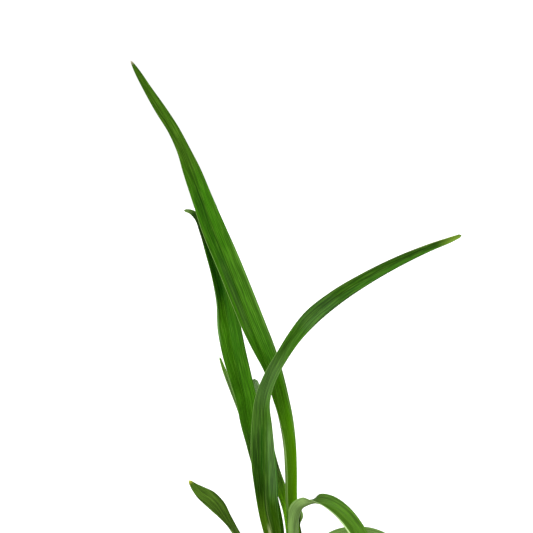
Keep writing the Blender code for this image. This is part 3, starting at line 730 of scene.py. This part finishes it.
# %% The looks of each leaf
LEAF_LOOKS = {
    "leaf_tall": dict(
        # the foot: partly a real pale green, partly painted light that lifts the shade in its deep gutter
        body=DEEP_GREEN, foot=(PALE_AND_LIT_FOOT, 175.0), tip=(DRY, 4.5), midrib=(0.3, 0.15),
        margin=(0.9, 0.3), contrast=1.1, marks=[
            # painted light: the right half, which faces the key light, made lighter
            mark((0.037, 0.122, 0.005), 0.6, (188, 245), (0.05, 1.0)),
            mark(SHADE, 0.2, (166, 190), (0.3, 1.0), (0.15, 15)),
            mark((0.085, 0.180, 0.030), 0.5, (120, 255), (0.86, 1.0), (0.06, 20)),
            # painted shade with a grey sheen in the gutter left of the midrib
            mark((0.045, 0.072, 0.022), 0.35, (205, 240), (-0.6, -0.2), (0.15, 20)),
            mark(SHADE, 0.2, (150, 310), (-0.25, -0.1), (0.1, 40)),
            mark(SHADE, 0.35, (236, 295), (-0.7, -0.05), (0.15, 20)),
            mark((0.016, 0.072, 0.001), 0.4, (262, 330), (0.1, 1.0), (0.1, 15)),
            mark((0.028, 0.064, 0.003), 0.6, (335, 407), soft=(0.1, 40)),
            mark((0.125, 0.185, 0.060), 0.7, (102, 140), soft=(0.1, 12), under=True),
            mark((0.050, 0.090, 0.020), 0.9, (66, 92), soft=(0.1, 12), under=True),
            # painted shade: the underside near the foot, which the sun lights, made dark green
            mark((0.012, 0.055, 0.0005), 0.95, (0, 58), soft=(0.1, 10), under=True),
        ]),
    "leaf_behind_tall": dict(
        body=shade(DEEP_GREEN, 0.95), foot=((0.045, 0.16, 0.001), 160.0), tip=((0.10, 0.17, 0.04), 9.0),
        midrib_line=SHADE, margin=(0.5, 0.3), contrast=0.9, marks=[
            mark(SHADE, 0.9, (224, 258), (-0.7, 0.2), (0.2, 16)),
            mark((0.060, 0.120, 0.018), 0.6, (68, 110), (-1.0, 0.3), (0.1, 15)),
            # painted light: lifts the shadow that the arching leaf casts on the lower left of the blade
            mark((0.050, 0.200, 0.004), 0.35, (112, 142), (-1.0, 0.0), (0.1, 12)),
            mark((0.014, 0.070, 0.0004), 0.7, (176, 222), (0.05, 1.0)),
            # painted highlight: a pale strip where the curved left margin catches the light
            mark((0.12, 0.24, 0.07), 0.6, (190, 218), (-1.0, -0.88), (0.06, 10)),
            # painted shade: the curled tip, which faces up into the light, made dark
            mark((0.012, 0.030, 0.004), 0.85, (262, 281), soft=(0.1, 8)),
        ]),
    "leaf_arching_right": dict(
        body=DARK_GREEN, foot=((0.06, 0.12, 0.002), 70.0), tip=((0.12, 0.20, 0.02), 21.0),
        midrib=(0.6, 0.0), midrib_line=(0.22, 0.32, 0.08), midrib_fade=(0.12, 0.27),
        margin=(0.4, 0.15), contrast=1.3, marks=[
            mark(WAX, 0.10, (112, 170)),
            mark(BLUE_WAX_AND_SHEEN, 0.08, (148, 162), soft=(0.1, 16)),
            mark(BLUE_WAX_AND_SHEEN, 0.07, (206, 224), soft=(0.1, 12)),
            # painted shade: the channel over the keel made darker
            mark(CHANNEL_SHADE, 0.3, (98, 126), (-0.3, 0.5), (0.15, 8)),
            # painted sheen: the right half, which faces the key light, given a pale bluish wax colour
            mark(BLUE_WAX_AND_SHEEN, 0.15, (82, 112), (0.06, 1.0), (0.04, 22)),
            # painted shade: the left half beside the fold made darker
            mark((0.010, 0.040, 0.001), 0.5, (74, 108), (-0.85, -0.05), (0.1, 14)),
            mark(SHADE, 0.85, (92, 118), (-0.22, -0.04), (0.06, 8)),
            # painted light: the left half near the foot, which faces the light, made lighter yellow-green
            mark((0.12, 0.27, 0.010), 0.62, (10, 54), (-1.0, -0.2), (0.12, 24)),
            # painted shade: the right half near the foot, in the shade of the fold, made dark
            mark((0.018, 0.055, 0.0005), 0.85, (15, 62), (0.04, 0.85), (0.04, 14)),
            # painted shade: both sides of the keel in the channel made darker
            mark(CHANNEL_SHADE, 0.8, (62, 128), (-0.12, 0.24), (0.08, 14)),
            mark((0.58, 0.66, 0.30), 0.85, (0, 42), (-0.28, -0.10), (0.07, 12)),
            mark(SHADE, 0.8, (75, 100), (0.93, 1.0), (0.03, 10)),
            mark(SHADE, 0.2, (225, 290), (0.1, 1.0)),
            mark((0.012, 0.040, 0.003), 0.6, (215, 295), (0.82, 1.0)),
            mark((0.045, 0.085, 0.012), 0.6, (238, 290), (-1.0, -0.8), (0.06, 20)),
            mark((0.20, 0.24, 0.09), 0.7, (305, 332), (-1.0, -0.85), (0.06, 20)),
        ]),
    "leaf_short_left": dict(
        body=shade(OLIVE_GREEN, 0.93), tip=((0.32, 0.34, 0.04), 4.0), contrast=1.3, marks=[
            mark(WAX, 0.2, (10, 45)),
        ]),
    "leaf_recurved": dict(
        body=LEAF_GREEN, back=(0.125, 0.215, 0.058), midrib=(0.15, 0.1), contrast=1.5, marks=[
            mark((0.032, 0.070, 0.010), 0.9, (66, 92), (-1.0, 0.1), (0.1, 12)),
            mark((0.036, 0.100, 0.006), 0.8, (98, 150), (-1.0, 0.7), (0.2, 20)),
            mark((0.36, 0.50, 0.22), 0.9, (86, 140), (0.84, 1.0), (0.05, 10)),
            # painted light: the underside at the turn, which faces down into shade, made lighter
            mark((0.17, 0.27, 0.08), 0.9, (76, 110), soft=(0.1, 12), under=True),
        ]),
    "leaf_low_right": dict(body=OLIVE_GREEN, wax=(0.55, 0.55), contrast=1.3),
    "leaf_pointed": dict(body=(0.15, 0.27, 0.07), tip=((0.14, 0.29, 0.03), 22.0), margin=(0.15, 0.15)),
    "leaf_round_tipped": dict(
        # painted light: body and tip made lighter to lift the shadow of the taller leaves; the tip's colour
        # is a bluish wax
        body=(0.15, 0.40, 0.006), wax=(-1.5, 2.2), foot=((0.11, 0.24, 0.010), 60.0),
        tip=(shade(BLUE_WAX_AND_SHEEN, 1.45), 25.0)),
    "leaf_crinkled": dict(body=shade(OLIVE_GREEN, 1.15), tip=(WAX, 8.0)),
}
print("marks on each leaf:", {name: len(looks.get("marks", ())) for name, looks in LEAF_LOOKS.items()})

# %% [markdown]
# Every leaf goes through the same tree. The long blades get more columns, because a viewer sees
# their ribs, and the small crinkled one gets the most unevenness.

# %% Grow the leaves
BLADE_SIZES = {
    "Thickness": 0.5 * MM, "Ribs": float(RIBS), "Rib Height": 0.03 * MM,
    "Midrib Width": 0.5 * MM, "Groove Depth": 0.12 * MM, "Keel Depth": 0.25 * MM,
    "Crinkle": 0.5 * MM,
}
LONG_LEAF = 180
LONG_LEAF_COLUMNS, COLUMNS = 97, 65
CRINKLED = {"leaf_crinkled": 3.0 * MM}

for name, spine in spines.items():
    stations = len(spine.vertices)
    sizes = {
        **BLADE_SIZES,
        "Stations": stations,
        "Columns": LONG_LEAF_COLUMNS if stations * STATION_STEP > LONG_LEAF else COLUMNS,
        "Crinkle": CRINKLED.get(name, BLADE_SIZES["Crinkle"]),
        "Finish": leaf_finish(name, **LEAF_LOOKS[name]),
    }
    hand_over(grow("grown_" + name, spine, BLADE, sizes), "leaf", name)

# %% [markdown]
# The compost is a dark, fibrous mix of peat and composted bark with a little white perlite. A
# plane with a bump map would look like cloth from close by, so its top is a real uneven surface
# that rises a little round the shoots, and real crumbs lie on it.

# %% The top of the compost
pot_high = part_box("pot")[1]
soil_low, soil_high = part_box("soil")
POT_WALL = 1.4 * MM
POT_TAPER_TOP = 106 * MM
EDGE_DIP = 2.0 * MM
EDGE_SHARPNESS = 6
LUMPS = {14.0: 1.6, 5.0: 0.7, 1.8: 0.45}
SHOOT_RISE = 0.8
SHOOT_SPREAD = 14
plug_radius = soil_high.x
print("compost, mm: top", round(soil_high.z / MM, 1), "radius", round(plug_radius / MM, 1))


def compost_height(x, y):
    """The uneven top: lumps of three sizes, a rise round each fan and a dip at the pot's wall."""
    at_wall = min(1.0, math.hypot(x, y) / plug_radius) ** EDGE_SHARPNESS
    height = SOIL_TOP * MM - EDGE_DIP * at_wall
    for size, relief in LUMPS.items():
        lump = noise.noise(Vector((x / MM, y / MM, 7.0)) / size)
        height += relief * MM * lump * (1 - at_wall)
    for fan_x, fan_y in FANS.values():
        far = math.hypot(x / MM - fan_x, y / MM - fan_y)
        height += SHOOT_RISE * MM * math.exp(-((far / SHOOT_SPREAD) ** 2))
    return height


# %% The compost's plug
PLUG_FOOT_RADIUS = 51.9 * MM
PLUG_RINGS = 70
PLUG_SIDES = 200
LEVEL = 0.01 * MM


def turned(name, profile, sides):
    """A profile of radius and height spun about the axis. It is closed if both ends are on the axis."""
    points, rings = [], []
    for radius, height in profile:
        count = 1 if radius == 0 else sides
        rings.append([len(points) + k % count for k in range(sides)])
        for k in range(count):
            angle = 2 * math.pi * k / sides
            points.append((radius * math.cos(angle), radius * math.sin(angle), height))
    faces = []
    for low, high in zip(rings, rings[1:]):
        for k in range(sides):
            after = (k + 1) % sides
            faces.append(list(dict.fromkeys([low[k], low[after], high[after], high[k]])))
    mesh = bpy.data.meshes.new(name)
    mesh.from_pydata(points, [], faces)
    return mesh


def compost_plug():
    """The plug's mesh, and another of its top alone."""
    top = [(plug_radius * k / PLUG_RINGS, soil_high.z) for k in range(PLUG_RINGS, -1, -1)]
    sides = [(0, soil_low.z), (PLUG_FOOT_RADIUS, soil_low.z), (plug_radius, POT_TAPER_TOP)]
    plug = turned("compost_plug", sides + top, PLUG_SIDES)
    disc = turned("compost_top", top, PLUG_SIDES)
    for mesh in (plug, disc):
        for vertex in mesh.vertices:
            if vertex.co.z > soil_high.z - LEVEL:
                vertex.co.z = compost_height(vertex.co.x, vertex.co.y)
        mesh.shade_smooth()
    return plug, disc


plug_mesh, top_mesh = compost_plug()
heights = [vertex.co.z / MM for vertex in top_mesh.vertices]
print("compost's top, mm: from", round(min(heights), 1), "to", round(max(heights), 1))

# %% [markdown]
# Compost, bark and perlite are all rough and matt, and differ mostly in colour. One finish with two
# noises serves them all. Each loose bit carries a random tone, so that no two look the same.

# %% The compost's finishes
TONE_SPREAD = 0.6
CLOD_SIZE = 6 * MM
PEAT = (0.030, 0.019, 0.012)
PEAT_LIGHT = (0.095, 0.060, 0.036)
BARK = (0.11, 0.055, 0.028)
PERLITE = (0.62, 0.61, 0.56)


def crumb_finish(name, dark, light, grain, roughness=0.9):
    """A rough mineral or fibrous finish between two colours, which differs from crumb to crumb."""
    made, graph, shader = new_finish(name, Roughness=roughness, Specular_IOR_Level=0.3)
    place = on_object(graph)
    coarse = graph.noise(place, CLOD_SIZE, 4.0, 0.6)
    fine = graph.noise(place, grain, 4.0, 0.65)
    tone = 0.2 + (coarse + fine) * 0.9 + attribute(graph, "tone") * TONE_SPREAD
    paint(graph, shader, graph.mix(dark, light, tone), roughness + fine * 0.15, fine + coarse * 0.3, grain)
    return made


compost_finish = crumb_finish("compost", PEAT, PEAT_LIGHT, grain=0.9 * MM)
bark_finish = crumb_finish("bark", shade(BARK, 0.45), BARK, grain=0.6 * MM, roughness=0.8)
perlite_finish = crumb_finish("perlite", shade(PERLITE, 0.6), PERLITE, grain=0.5 * MM)

compost = show("compost_plug", plug_mesh)
compost.data.materials.append(compost_finish)
hand_over(compost, "compost", "soil")

# %% [markdown]
# What lies on the compost repeats by the thousand: crumbs of peat, chips of bark, grains of
# perlite and loose fibres. One Geometry Nodes tree scatters them. It puts a rough stone of a few
# faces on random points of the compost's top, and turns and stretches each copy in its own way.
# Real bits lie in patches and few of them are large, so a noise crowds the points in some places
# and thins them in others, and each size comes from a random number raised to a power.

# %% Scatter loose bits over the compost
PATCH_SIZE = 16 * MM
LUMPS_ON_A_STONE = 2.3
STRETCH = (0.75, 1.25)


def scatter_tree():
    """The tree that scatters rough stones over a surface."""
    sizes = "Density, Patches, Rarity, Tilt, Lift, Roughness"
    graph, given = geometry_tree("scatter", Int="Seed, Faces", Float=sizes, Vector="Smallest, Largest")
    place = graph.node("GeometryNodeInputPosition")
    where = graph.sum_of(place, graph.vector(given["Seed"], 0.0, 0.0))
    crowded = 1 + graph.noise(where, PATCH_SIZE, 2.0) * given["Patches"]
    density = given["Density"] * crowded.at_least(0.0)
    spread = {"Mesh": given["Geometry"], "Density": density, "Seed": given["Seed"]}
    points = graph.node("GeometryNodeDistributePointsOnFaces", spread)
    lift = graph.vector(0.0, 0.0, given["Lift"])
    points = graph.node("GeometryNodeSetPosition", {"Geometry": points, "Offset": lift})

    stone = graph.node("GeometryNodeMeshIcoSphere", {"Radius": 0.5, "Subdivisions": given["Faces"]})
    dents = graph.noise(place, 1 / LUMPS_ON_A_STONE, 2.0) * given["Roughness"]
    dented = {"Geometry": stone, "Offset": graph.scaled(place, dents)}
    stone = graph.node("GeometryNodeSetPosition", dented)

    def random(kind, draw, **ends):
        """A random number, or vector, for each point. Each draw of the seed is another one."""
        sockets = {**ends, "Seed": given["Seed"] + draw}
        return graph.node("FunctionNodeRandomValue", sockets, data_type=kind)

    tilt = given["Tilt"]
    flat, full = graph.vector(-tilt, -tilt, 0.0), graph.vector(tilt, tilt, 2 * math.pi)
    turned_by = random("FLOAT_VECTOR", 1, Min=flat, Max=full)
    least, most = ((times, times, times) for times in STRETCH)
    stretch = random("FLOAT_VECTOR", 2, Min=least, Max=most)
    share = random("FLOAT", 4) ** given["Rarity"]
    between = {"Factor": share, "A": given["Smallest"], "B": given["Largest"]}
    size = graph.node("ShaderNodeMix", between, data_type="VECTOR")
    size = graph.node("ShaderNodeVectorMath", {0: size, 1: stretch}, operation="MULTIPLY")
    copies = {"Points": points, "Instance": stone, "Rotation": turned_by, "Scale": size}
    copies = graph.node("GeometryNodeInstanceOnPoints", copies)
    copies = stored(graph, copies, "tone", random("FLOAT", 3), "INSTANCE")
    return close_tree(graph, copies, given["Finish"])


SCATTER = scatter_tree()
print("nodes in the scatter tree:", len(SCATTER.nodes))


# %% The loose bits
def in_mm(*lengths):
    return [length * MM for length in lengths]


LOOSE_BITS = {
    "peat_crumbs": dict(
        Density=2.6e5, Patches=1.0, Seed=11, Faces=1, Rarity=2.2, Tilt=3.1, Lift=0.2 * MM, Roughness=1.1,
        Smallest=in_mm(0.6, 0.6, 0.5), Largest=in_mm(3.6, 3.2, 2.4), Finish=compost_finish),
    "bark_chips": dict(
        Density=2.2e4, Patches=2.0, Seed=23, Faces=1, Rarity=1.8, Tilt=0.45, Lift=0.3 * MM, Roughness=0.9,
        Smallest=in_mm(2.0, 1.1, 0.5), Largest=in_mm(9.0, 4.0, 1.7), Finish=bark_finish),
    "perlite_grains": dict(
        Density=1.2e4, Patches=4.0, Seed=37, Faces=2, Rarity=3.0, Tilt=3.1, Lift=0.2 * MM, Roughness=0.8,
        Smallest=in_mm(0.6, 0.6, 0.5), Largest=in_mm(4.0, 3.6, 2.8), Finish=perlite_finish),
    "peat_fibres": dict(
        Density=2.6e4, Patches=2.0, Seed=41, Faces=1, Rarity=1.5, Tilt=0.35, Lift=0.6 * MM, Roughness=0.7,
        Smallest=in_mm(2.5, 0.15, 0.15), Largest=in_mm(11.0, 0.35, 0.3), Finish=bark_finish),
}
for name, sizes in LOOSE_BITS.items():
    hand_over(grow(name, top_mesh.copy(), SCATTER, sizes), "compost")

# %% [markdown]
# The pot is moulded in one piece from thin black plastic: a tapered wall, a shoulder, a rim with
# a skirt that is easy to lift by, a raised floor with drain holes, and a foot ring with four
# notches. It is a turned shape, so its profile is drawn once and spun. Every corner of the profile
# is given a small radius, because a moulded edge is never sharp and its highlight shows it.

# %% The pot's profile
pot_height = pot_high.z
rim_radius = pot_high.x
FOOT_RADIUS = 53 * MM
FOOT_CHAMFER = 1.4 * MM
FOOT_RING = 6 * MM
PAD_RADIUS = 12 * MM
FLOOR_RISE = 3 * MM
FLOOR_DRAFT = 1 * MM
FLOOR_THICKNESS = 1.6 * MM
SHOULDER_RADIUS = 70.3 * MM
SHOULDER_RISE = 1.5 * MM
TOP_RADIUS = 71.5 * MM
COLLAR_DRAFT = 0.3 * MM
SKIRT_DROP = 11 * MM
LIP = 1.1 * MM
SMALL_ARC = 0.35 * MM
POT_SIDES = 192


def rounded(corners, steps=4):
    """The profile with an arc in place of each corner that has a radius."""
    made = []
    for k, (radius, height, fillet) in enumerate(corners):
        here = Vector((radius, height))
        if not fillet:
            made.append(tuple(here))
            continue
        before = (Vector(corners[k - 1][:2]) - here).normalized()
        after = (Vector(corners[k + 1][:2]) - here).normalized()
        start, end = here + before * fillet, here + after * fillet
        for j in range(steps + 1):
            t = j / steps
            made.append(tuple(start * (1 - t) ** 2 + here * 2 * t * (1 - t) + end * t * t))
    return made


def pot_profile():
    """The pot's profile from the middle of its foot over the rim to the middle of its floor.

    Each corner is a radius, a height and how far from the corner its arc begins.
    """
    foot_inside = FOOT_RADIUS - FOOT_RING
    skirt_inside = rim_radius - POT_WALL
    under_rim = pot_height - POT_WALL
    floor_top = FLOOR_RISE + FLOOR_THICKNESS
    shoulder_top = POT_TAPER_TOP + SHOULDER_RISE
    inner_top = TOP_RADIUS - POT_WALL
    floor_inside = FOOT_RADIUS - POT_WALL + (SHOULDER_RADIUS - FOOT_RADIUS) * floor_top / POT_TAPER_TOP
    return rounded([
        (0, 0, 0),
        (PAD_RADIUS, 0, SMALL_ARC),
        (PAD_RADIUS + FLOOR_DRAFT, FLOOR_RISE, SMALL_ARC),
        (foot_inside - FLOOR_DRAFT, FLOOR_RISE, SMALL_ARC),
        (foot_inside, 0, SMALL_ARC),
        (FOOT_RADIUS, 0, FOOT_CHAMFER),
        (SHOULDER_RADIUS, POT_TAPER_TOP, 0.8 * MM),
        (TOP_RADIUS, shoulder_top, 0.5 * MM),
        (TOP_RADIUS + COLLAR_DRAFT, under_rim, SMALL_ARC),
        (skirt_inside, under_rim, SMALL_ARC),
        (skirt_inside, pot_height - SKIRT_DROP, SMALL_ARC),
        (rim_radius, pot_height - SKIRT_DROP, SMALL_ARC),
        (rim_radius, pot_height, LIP),
        (inner_top + LIP, pot_height, 0.6 * MM),
        (inner_top, shoulder_top, 0.4 * MM),
        (SHOULDER_RADIUS - POT_WALL, POT_TAPER_TOP, 0.5 * MM),
        (floor_inside, floor_top, 1.2 * MM),
        (0, floor_top, 0),
    ])


profile = pot_profile()
print("points on the pot's profile:", len(profile))

# %% [markdown]
# Water leaves through the drain holes and runs out through the notches in the foot. They go right
# through, so they are cut with Booleans, one cutter at a time, from simple closed shapes that are a
# little longer than the wall is thick.

# %% Holes and notches
DRAIN_HOLES = 8
DRAIN_RADIUS = 4.5 * MM
DRAIN_RING_RADIUS = 34 * MM
DRAIN_SIDES = 40
FOOT_NOTCHES = 4
FOOT_NOTCH_WIDTH = 10 * MM
NOTCH_SPRING = 0.4
NOTCH_STEPS = 8
NOTCH_REACH = 3 * MM
CUT_MARGIN = 2 * MM
SHARP_ANGLE = math.radians(35)


def cut(target, cutter):
    """Cuts one shape out of the target's mesh and removes it."""
    modifier = target.modifiers.new("Cut", "BOOLEAN")
    modifier.operation = "DIFFERENCE"
    modifier.solver = "EXACT"
    modifier.object = cutter
    apply(target, modifier)
    bpy.data.objects.remove(cutter, do_unlink=True)


def drain_hole(angle):
    """An upright cylinder through the floor."""
    low, high = FLOOR_RISE - CUT_MARGIN, FLOOR_RISE + FLOOR_THICKNESS + CUT_MARGIN
    mesh = turned("drain", [(0, low), (DRAIN_RADIUS, low), (DRAIN_RADIUS, high), (0, high)], DRAIN_SIDES)
    x, y = DRAIN_RING_RADIUS * math.cos(angle), DRAIN_RING_RADIUS * math.sin(angle)
    mesh.transform(Matrix.Translation((x, y, 0)))
    return show("drain", mesh)


def slab(name, outline, near, far, angle):
    """A closed slab that runs along X from near to far, with an outline in Y and Z, then turned about Z."""
    points = [(x, y, z) for x in (near, far) for y, z in outline]
    count = len(outline)
    faces = [list(reversed(range(count))), list(range(count, 2 * count))]
    for k in range(count):
        after = (k + 1) % count
        faces.append([k, after, count + after, count + k])
    mesh = bpy.data.meshes.new(name)
    mesh.from_pydata(points, [], faces)
    mesh.transform(Matrix.Rotation(angle, 4, "Z"))
    return mesh


def foot_notch(angle):
    """A slot through the foot ring with a rounded top."""
    height, half = FLOOR_RISE - FLOOR_DRAFT, FOOT_NOTCH_WIDTH / 2
    outline = [(-half, -CUT_MARGIN), (half, -CUT_MARGIN)]
    for k in range(NOTCH_STEPS + 1):
        turn = math.pi * k / NOTCH_STEPS
        arch = height * NOTCH_SPRING + height * (1 - NOTCH_SPRING) * math.sin(turn)
        outline.append((half * math.cos(turn), arch))
    near, far = FOOT_RADIUS - FOOT_RING - NOTCH_REACH, FOOT_RADIUS + NOTCH_REACH
    return show("notch", slab("notch", outline, near, far, angle))


pot = show("nursery_pot", turned("nursery_pot", profile, POT_SIDES))
for k in range(DRAIN_HOLES):
    cut(pot, drain_hole(2 * math.pi * (k + 0.5) / DRAIN_HOLES))
for k in range(FOOT_NOTCHES):
    cut(pot, foot_notch(2 * math.pi * k / FOOT_NOTCHES))
pot.data.shade_smooth()
pot.data.set_sharp_from_angle(angle=SHARP_ANGLE)
print("pot, mm:", [round(c / MM, 1) for c in pot.dimensions])

# %% [markdown]
# Under the rim of such a pot there are short upright gussets between the skirt and the wall, which
# keep the skirt stiff and stop stacked pots from jamming. They repeat round a circle, which is a
# task for instances: one plate, copied onto the points of a ring.

# %% The plate and the ring of its copies
GUSSETS = 24
GUSSET_THICKNESS = 1 * MM
GUSSET_OVERLAP = 0.2 * MM
GUSSET_CORNER = (0.3, -0.4)


def ring_tree():
    """The tree that sets copies of a plate on a ring, each along its own radius."""
    graph, given = geometry_tree("ring", Int="Count", Float="Radius, Height")
    angle = graph.node("GeometryNodeInputIndex") * (2 * math.pi) / given["Count"]
    x, y = angle.cosine() * given["Radius"], angle.sine() * given["Radius"]
    sockets = {"Count": given["Count"], "Position": graph.vector(x, y, given["Height"])}
    points = graph.node("GeometryNodePoints", sockets)
    turned_by = graph.vector(0.0, 0.0, angle)
    copies = {"Points": points, "Instance": given["Geometry"], "Rotation": turned_by}
    copies = graph.node("GeometryNodeInstanceOnPoints", copies)
    return close_tree(graph, copies, given["Finish"])


def gusset_mesh():
    """One plate, about its own middle, with its lower outer corner cut away."""
    deep = (rim_radius - POT_WALL - TOP_RADIUS) / 2 + GUSSET_OVERLAP
    tall = SKIRT_DROP / 2 - POT_WALL
    across, up = GUSSET_CORNER
    outline = [(-deep, -tall), (deep * across, -tall), (deep, tall * up), (deep, tall), (-deep, tall)]
    return slab("gusset", outline, -GUSSET_THICKNESS / 2, GUSSET_THICKNESS / 2, -math.pi / 2)


RING = ring_tree()
print("nodes in the ring tree:", len(RING.nodes))

# %% [markdown]
# The plastic is dyed all through, so its finish has no seams or coats: a fine moulded grain, scuffs
# that run round the wall, and compost dust that has dried on near the foot and the rim.

# %% The plastic
PLASTIC = (0.014, 0.0145, 0.015)
DUST = (0.16, 0.13, 0.10)
GRAIN_SIZE = 0.35 * MM
CLOUD_SIZE = 18 * MM
SCUFF_SIZE = 9 * MM
SCUFF_STRETCH = 14.0
FOOT_DUST = 35 * MM
RIM_DUST = 3 * MM
PLASTIC_RELIEF = 0.05 * MM


def plastic_finish():
    """Black moulded plastic with a fine grain, scuffs round the wall and a little dried-on dust."""
    made, graph, shader = new_finish("pot_plastic", Specular_IOR_Level=0.45)
    place = on_object(graph)
    height = graph.node("ShaderNodeSeparateXYZ", {"Vector": place}, "Z")
    grain = graph.noise(place, GRAIN_SIZE, 2.0)
    clouds = graph.noise(place, CLOUD_SIZE, 4.0, 0.6)
    scuffs = graph.noise(flattened(graph, place, SCUFF_STRETCH), SCUFF_SIZE, 5.0, 0.7).rise(0.1, 0.3)
    low = 1 - height.rise(0.0, FOOT_DUST)
    high = height.rise(pot_height - RIM_DUST, pot_height)
    dust = (clouds + 0.5).rise(0.42, 0.85) * (0.10 + 0.35 * low + 0.25 * high)
    colour = graph.mix(PLASTIC, shade(PLASTIC, 2.2), scuffs * 0.5 + clouds * 0.4 + 0.2)
    roughness = 0.42 + scuffs * 0.14 + dust * 0.6 + clouds * 0.1
    colour = graph.mix(colour, DUST, dust)
    paint(graph, shader, colour, roughness, grain + scuffs * 0.3, PLASTIC_RELIEF, 0.6)
    return made


plastic = plastic_finish()
pot.data.materials.clear()
pot.data.materials.append(plastic)
hand_over(pot, "pot_plastic", "pot")
gussets = {
    "Count": GUSSETS,
    "Radius": (rim_radius - POT_WALL + TOP_RADIUS) / 2,
    "Height": pot_height - SKIRT_DROP / 2,
    "Finish": plastic,
}
hand_over(grow("rim_gussets", gusset_mesh(), RING, gussets), "pot_plastic")

# %% [markdown]
# Below the compost sit the crown and its fleshy roots. The CAD's own solid has their true shape,
# so it stays, and only gets its finish: a creamy tan skin with fine rings and earth in the folds.

# %% The crown's finish
ROOT_SKIN = (0.52, 0.38, 0.22)
RING_SIZE = 4 * MM
RING_STRETCH = 5.0
EARTH_SIZE = 7 * MM
ROOT_RELIEF = 0.5 * MM


def root_finish():
    """Creamy skin with rings round the root, and earth that sticks in patches."""
    made, graph, shader = new_finish("root_skin", Specular_IOR_Level=0.3)
    place = on_object(graph)
    rings = graph.noise(flattened(graph, place, RING_STRETCH), RING_SIZE, 4.0)
    earth = graph.noise(place, EARTH_SIZE, 5.0, 0.7).rise(0.02, 0.2)
    skin = graph.mix(shade(ROOT_SKIN, 0.6), shade(ROOT_SKIN, 1.1), rings + 0.5)
    colour = graph.mix(skin, PEAT_LIGHT, earth * 0.8)
    paint(graph, shader, colour, 0.6 + earth * 0.3, rings + earth * 0.4, ROOT_RELIEF)
    return made


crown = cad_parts["crown"]
crown.material_slots[0].material = root_finish()
print("the crown's finish:", crown.material_slots[0].material.name)

# %% [markdown]
# The photograph was taken on pure white in soft light that comes from the upper left and the
# front, so the right half of each folded blade is lit and the left half is darker. A broad sun
# gives that, a white world fills the rest in, and the pale floor is wide enough to end in white.

# %% The floor
FLOOR_RADIUS = 6.0
FLOOR_MIDDLE = 1.0
FLOOR_SIDES = 64
FLOOR = (0.86, 0.86, 0.85)

floor_mesh = turned("floor", [(0, 0), (FLOOR_MIDDLE, 0), (FLOOR_RADIUS, 0)], FLOOR_SIDES)
floor_mesh.flip_normals()
floor = show("floor", floor_mesh)
paper, graph, shader = new_finish("paper", Base_Color=(*FLOOR, 1), Specular_IOR_Level=0.1)
graph.fill(shader.inputs["Roughness"], 0.85 + graph.noise(on_object(graph), 20 * MM) * 0.1)
floor.data.materials.append(paper)
print("floor, m across:", 2 * FLOOR_RADIUS)

# %% The light
SUN_FROM = Vector((-0.9, -0.75, 1.05))
SUN_STRENGTH = 3.7
SUN_SOFTNESS = math.radians(50)
FILL = 1.1
BACKDROP = 1.05

sun = show("key", bpy.data.lights.new("key", "SUN"))
sun.data.energy = SUN_STRENGTH
sun.data.angle = SUN_SOFTNESS
sun.rotation_euler = SUN_FROM.to_track_quat("Z", "Y").to_euler()

world = bpy.data.worlds.new("white")
world.use_nodes = True
bpy.context.scene.world = world
graph = Graph(world.node_tree)
seen = graph.node("ShaderNodeLightPath", output="Is Camera Ray")
backdrop = world.node_tree.nodes["Background"]
backdrop.inputs["Color"].default_value = (1, 1, 1, 1)
graph.fill(backdrop.inputs["Strength"], FILL + (BACKDROP - FILL) * seen)
bpy.context.scene.view_settings.view_transform = "Standard"
print("the sun's height, degrees:", round(math.degrees(math.asin(SUN_FROM.normalized().z)), 1))

# %% [markdown]
# The camera has a long lens, stands about as high as the plant and looks slightly down. How far
# off it is follows from the size of a pixel at the plant, so the frame holds what the photo holds.

# %% The camera
ELEVATION = math.radians(6)
LENS, SENSOR = 100, 36
PIXELS = 533
MM_PER_PIXEL = 0.7
LOOK_AT = Vector((-9.45, 0, SOIL_TOP + 236.55)) * MM
FARTHEST = 50

camera = show("camera", bpy.data.cameras.new("camera"))
camera.data.lens = LENS
camera.data.sensor_width = SENSOR
camera.data.clip_end = FARTHEST
distance = LENS / SENSOR * PIXELS * MM_PER_PIXEL * MM
camera.location = LOOK_AT + Vector((0, -math.cos(ELEVATION), math.sin(ELEVATION))) * distance
camera.rotation_euler = (math.pi / 2 - ELEVATION, 0, 0)
bpy.context.scene.camera = camera
print("camera at", [round(c, 4) for c in camera.location])

# %% [markdown]
# Last, the scene is brought up to date.

# %% Bring the scene up to date
bpy.context.view_layer.update()
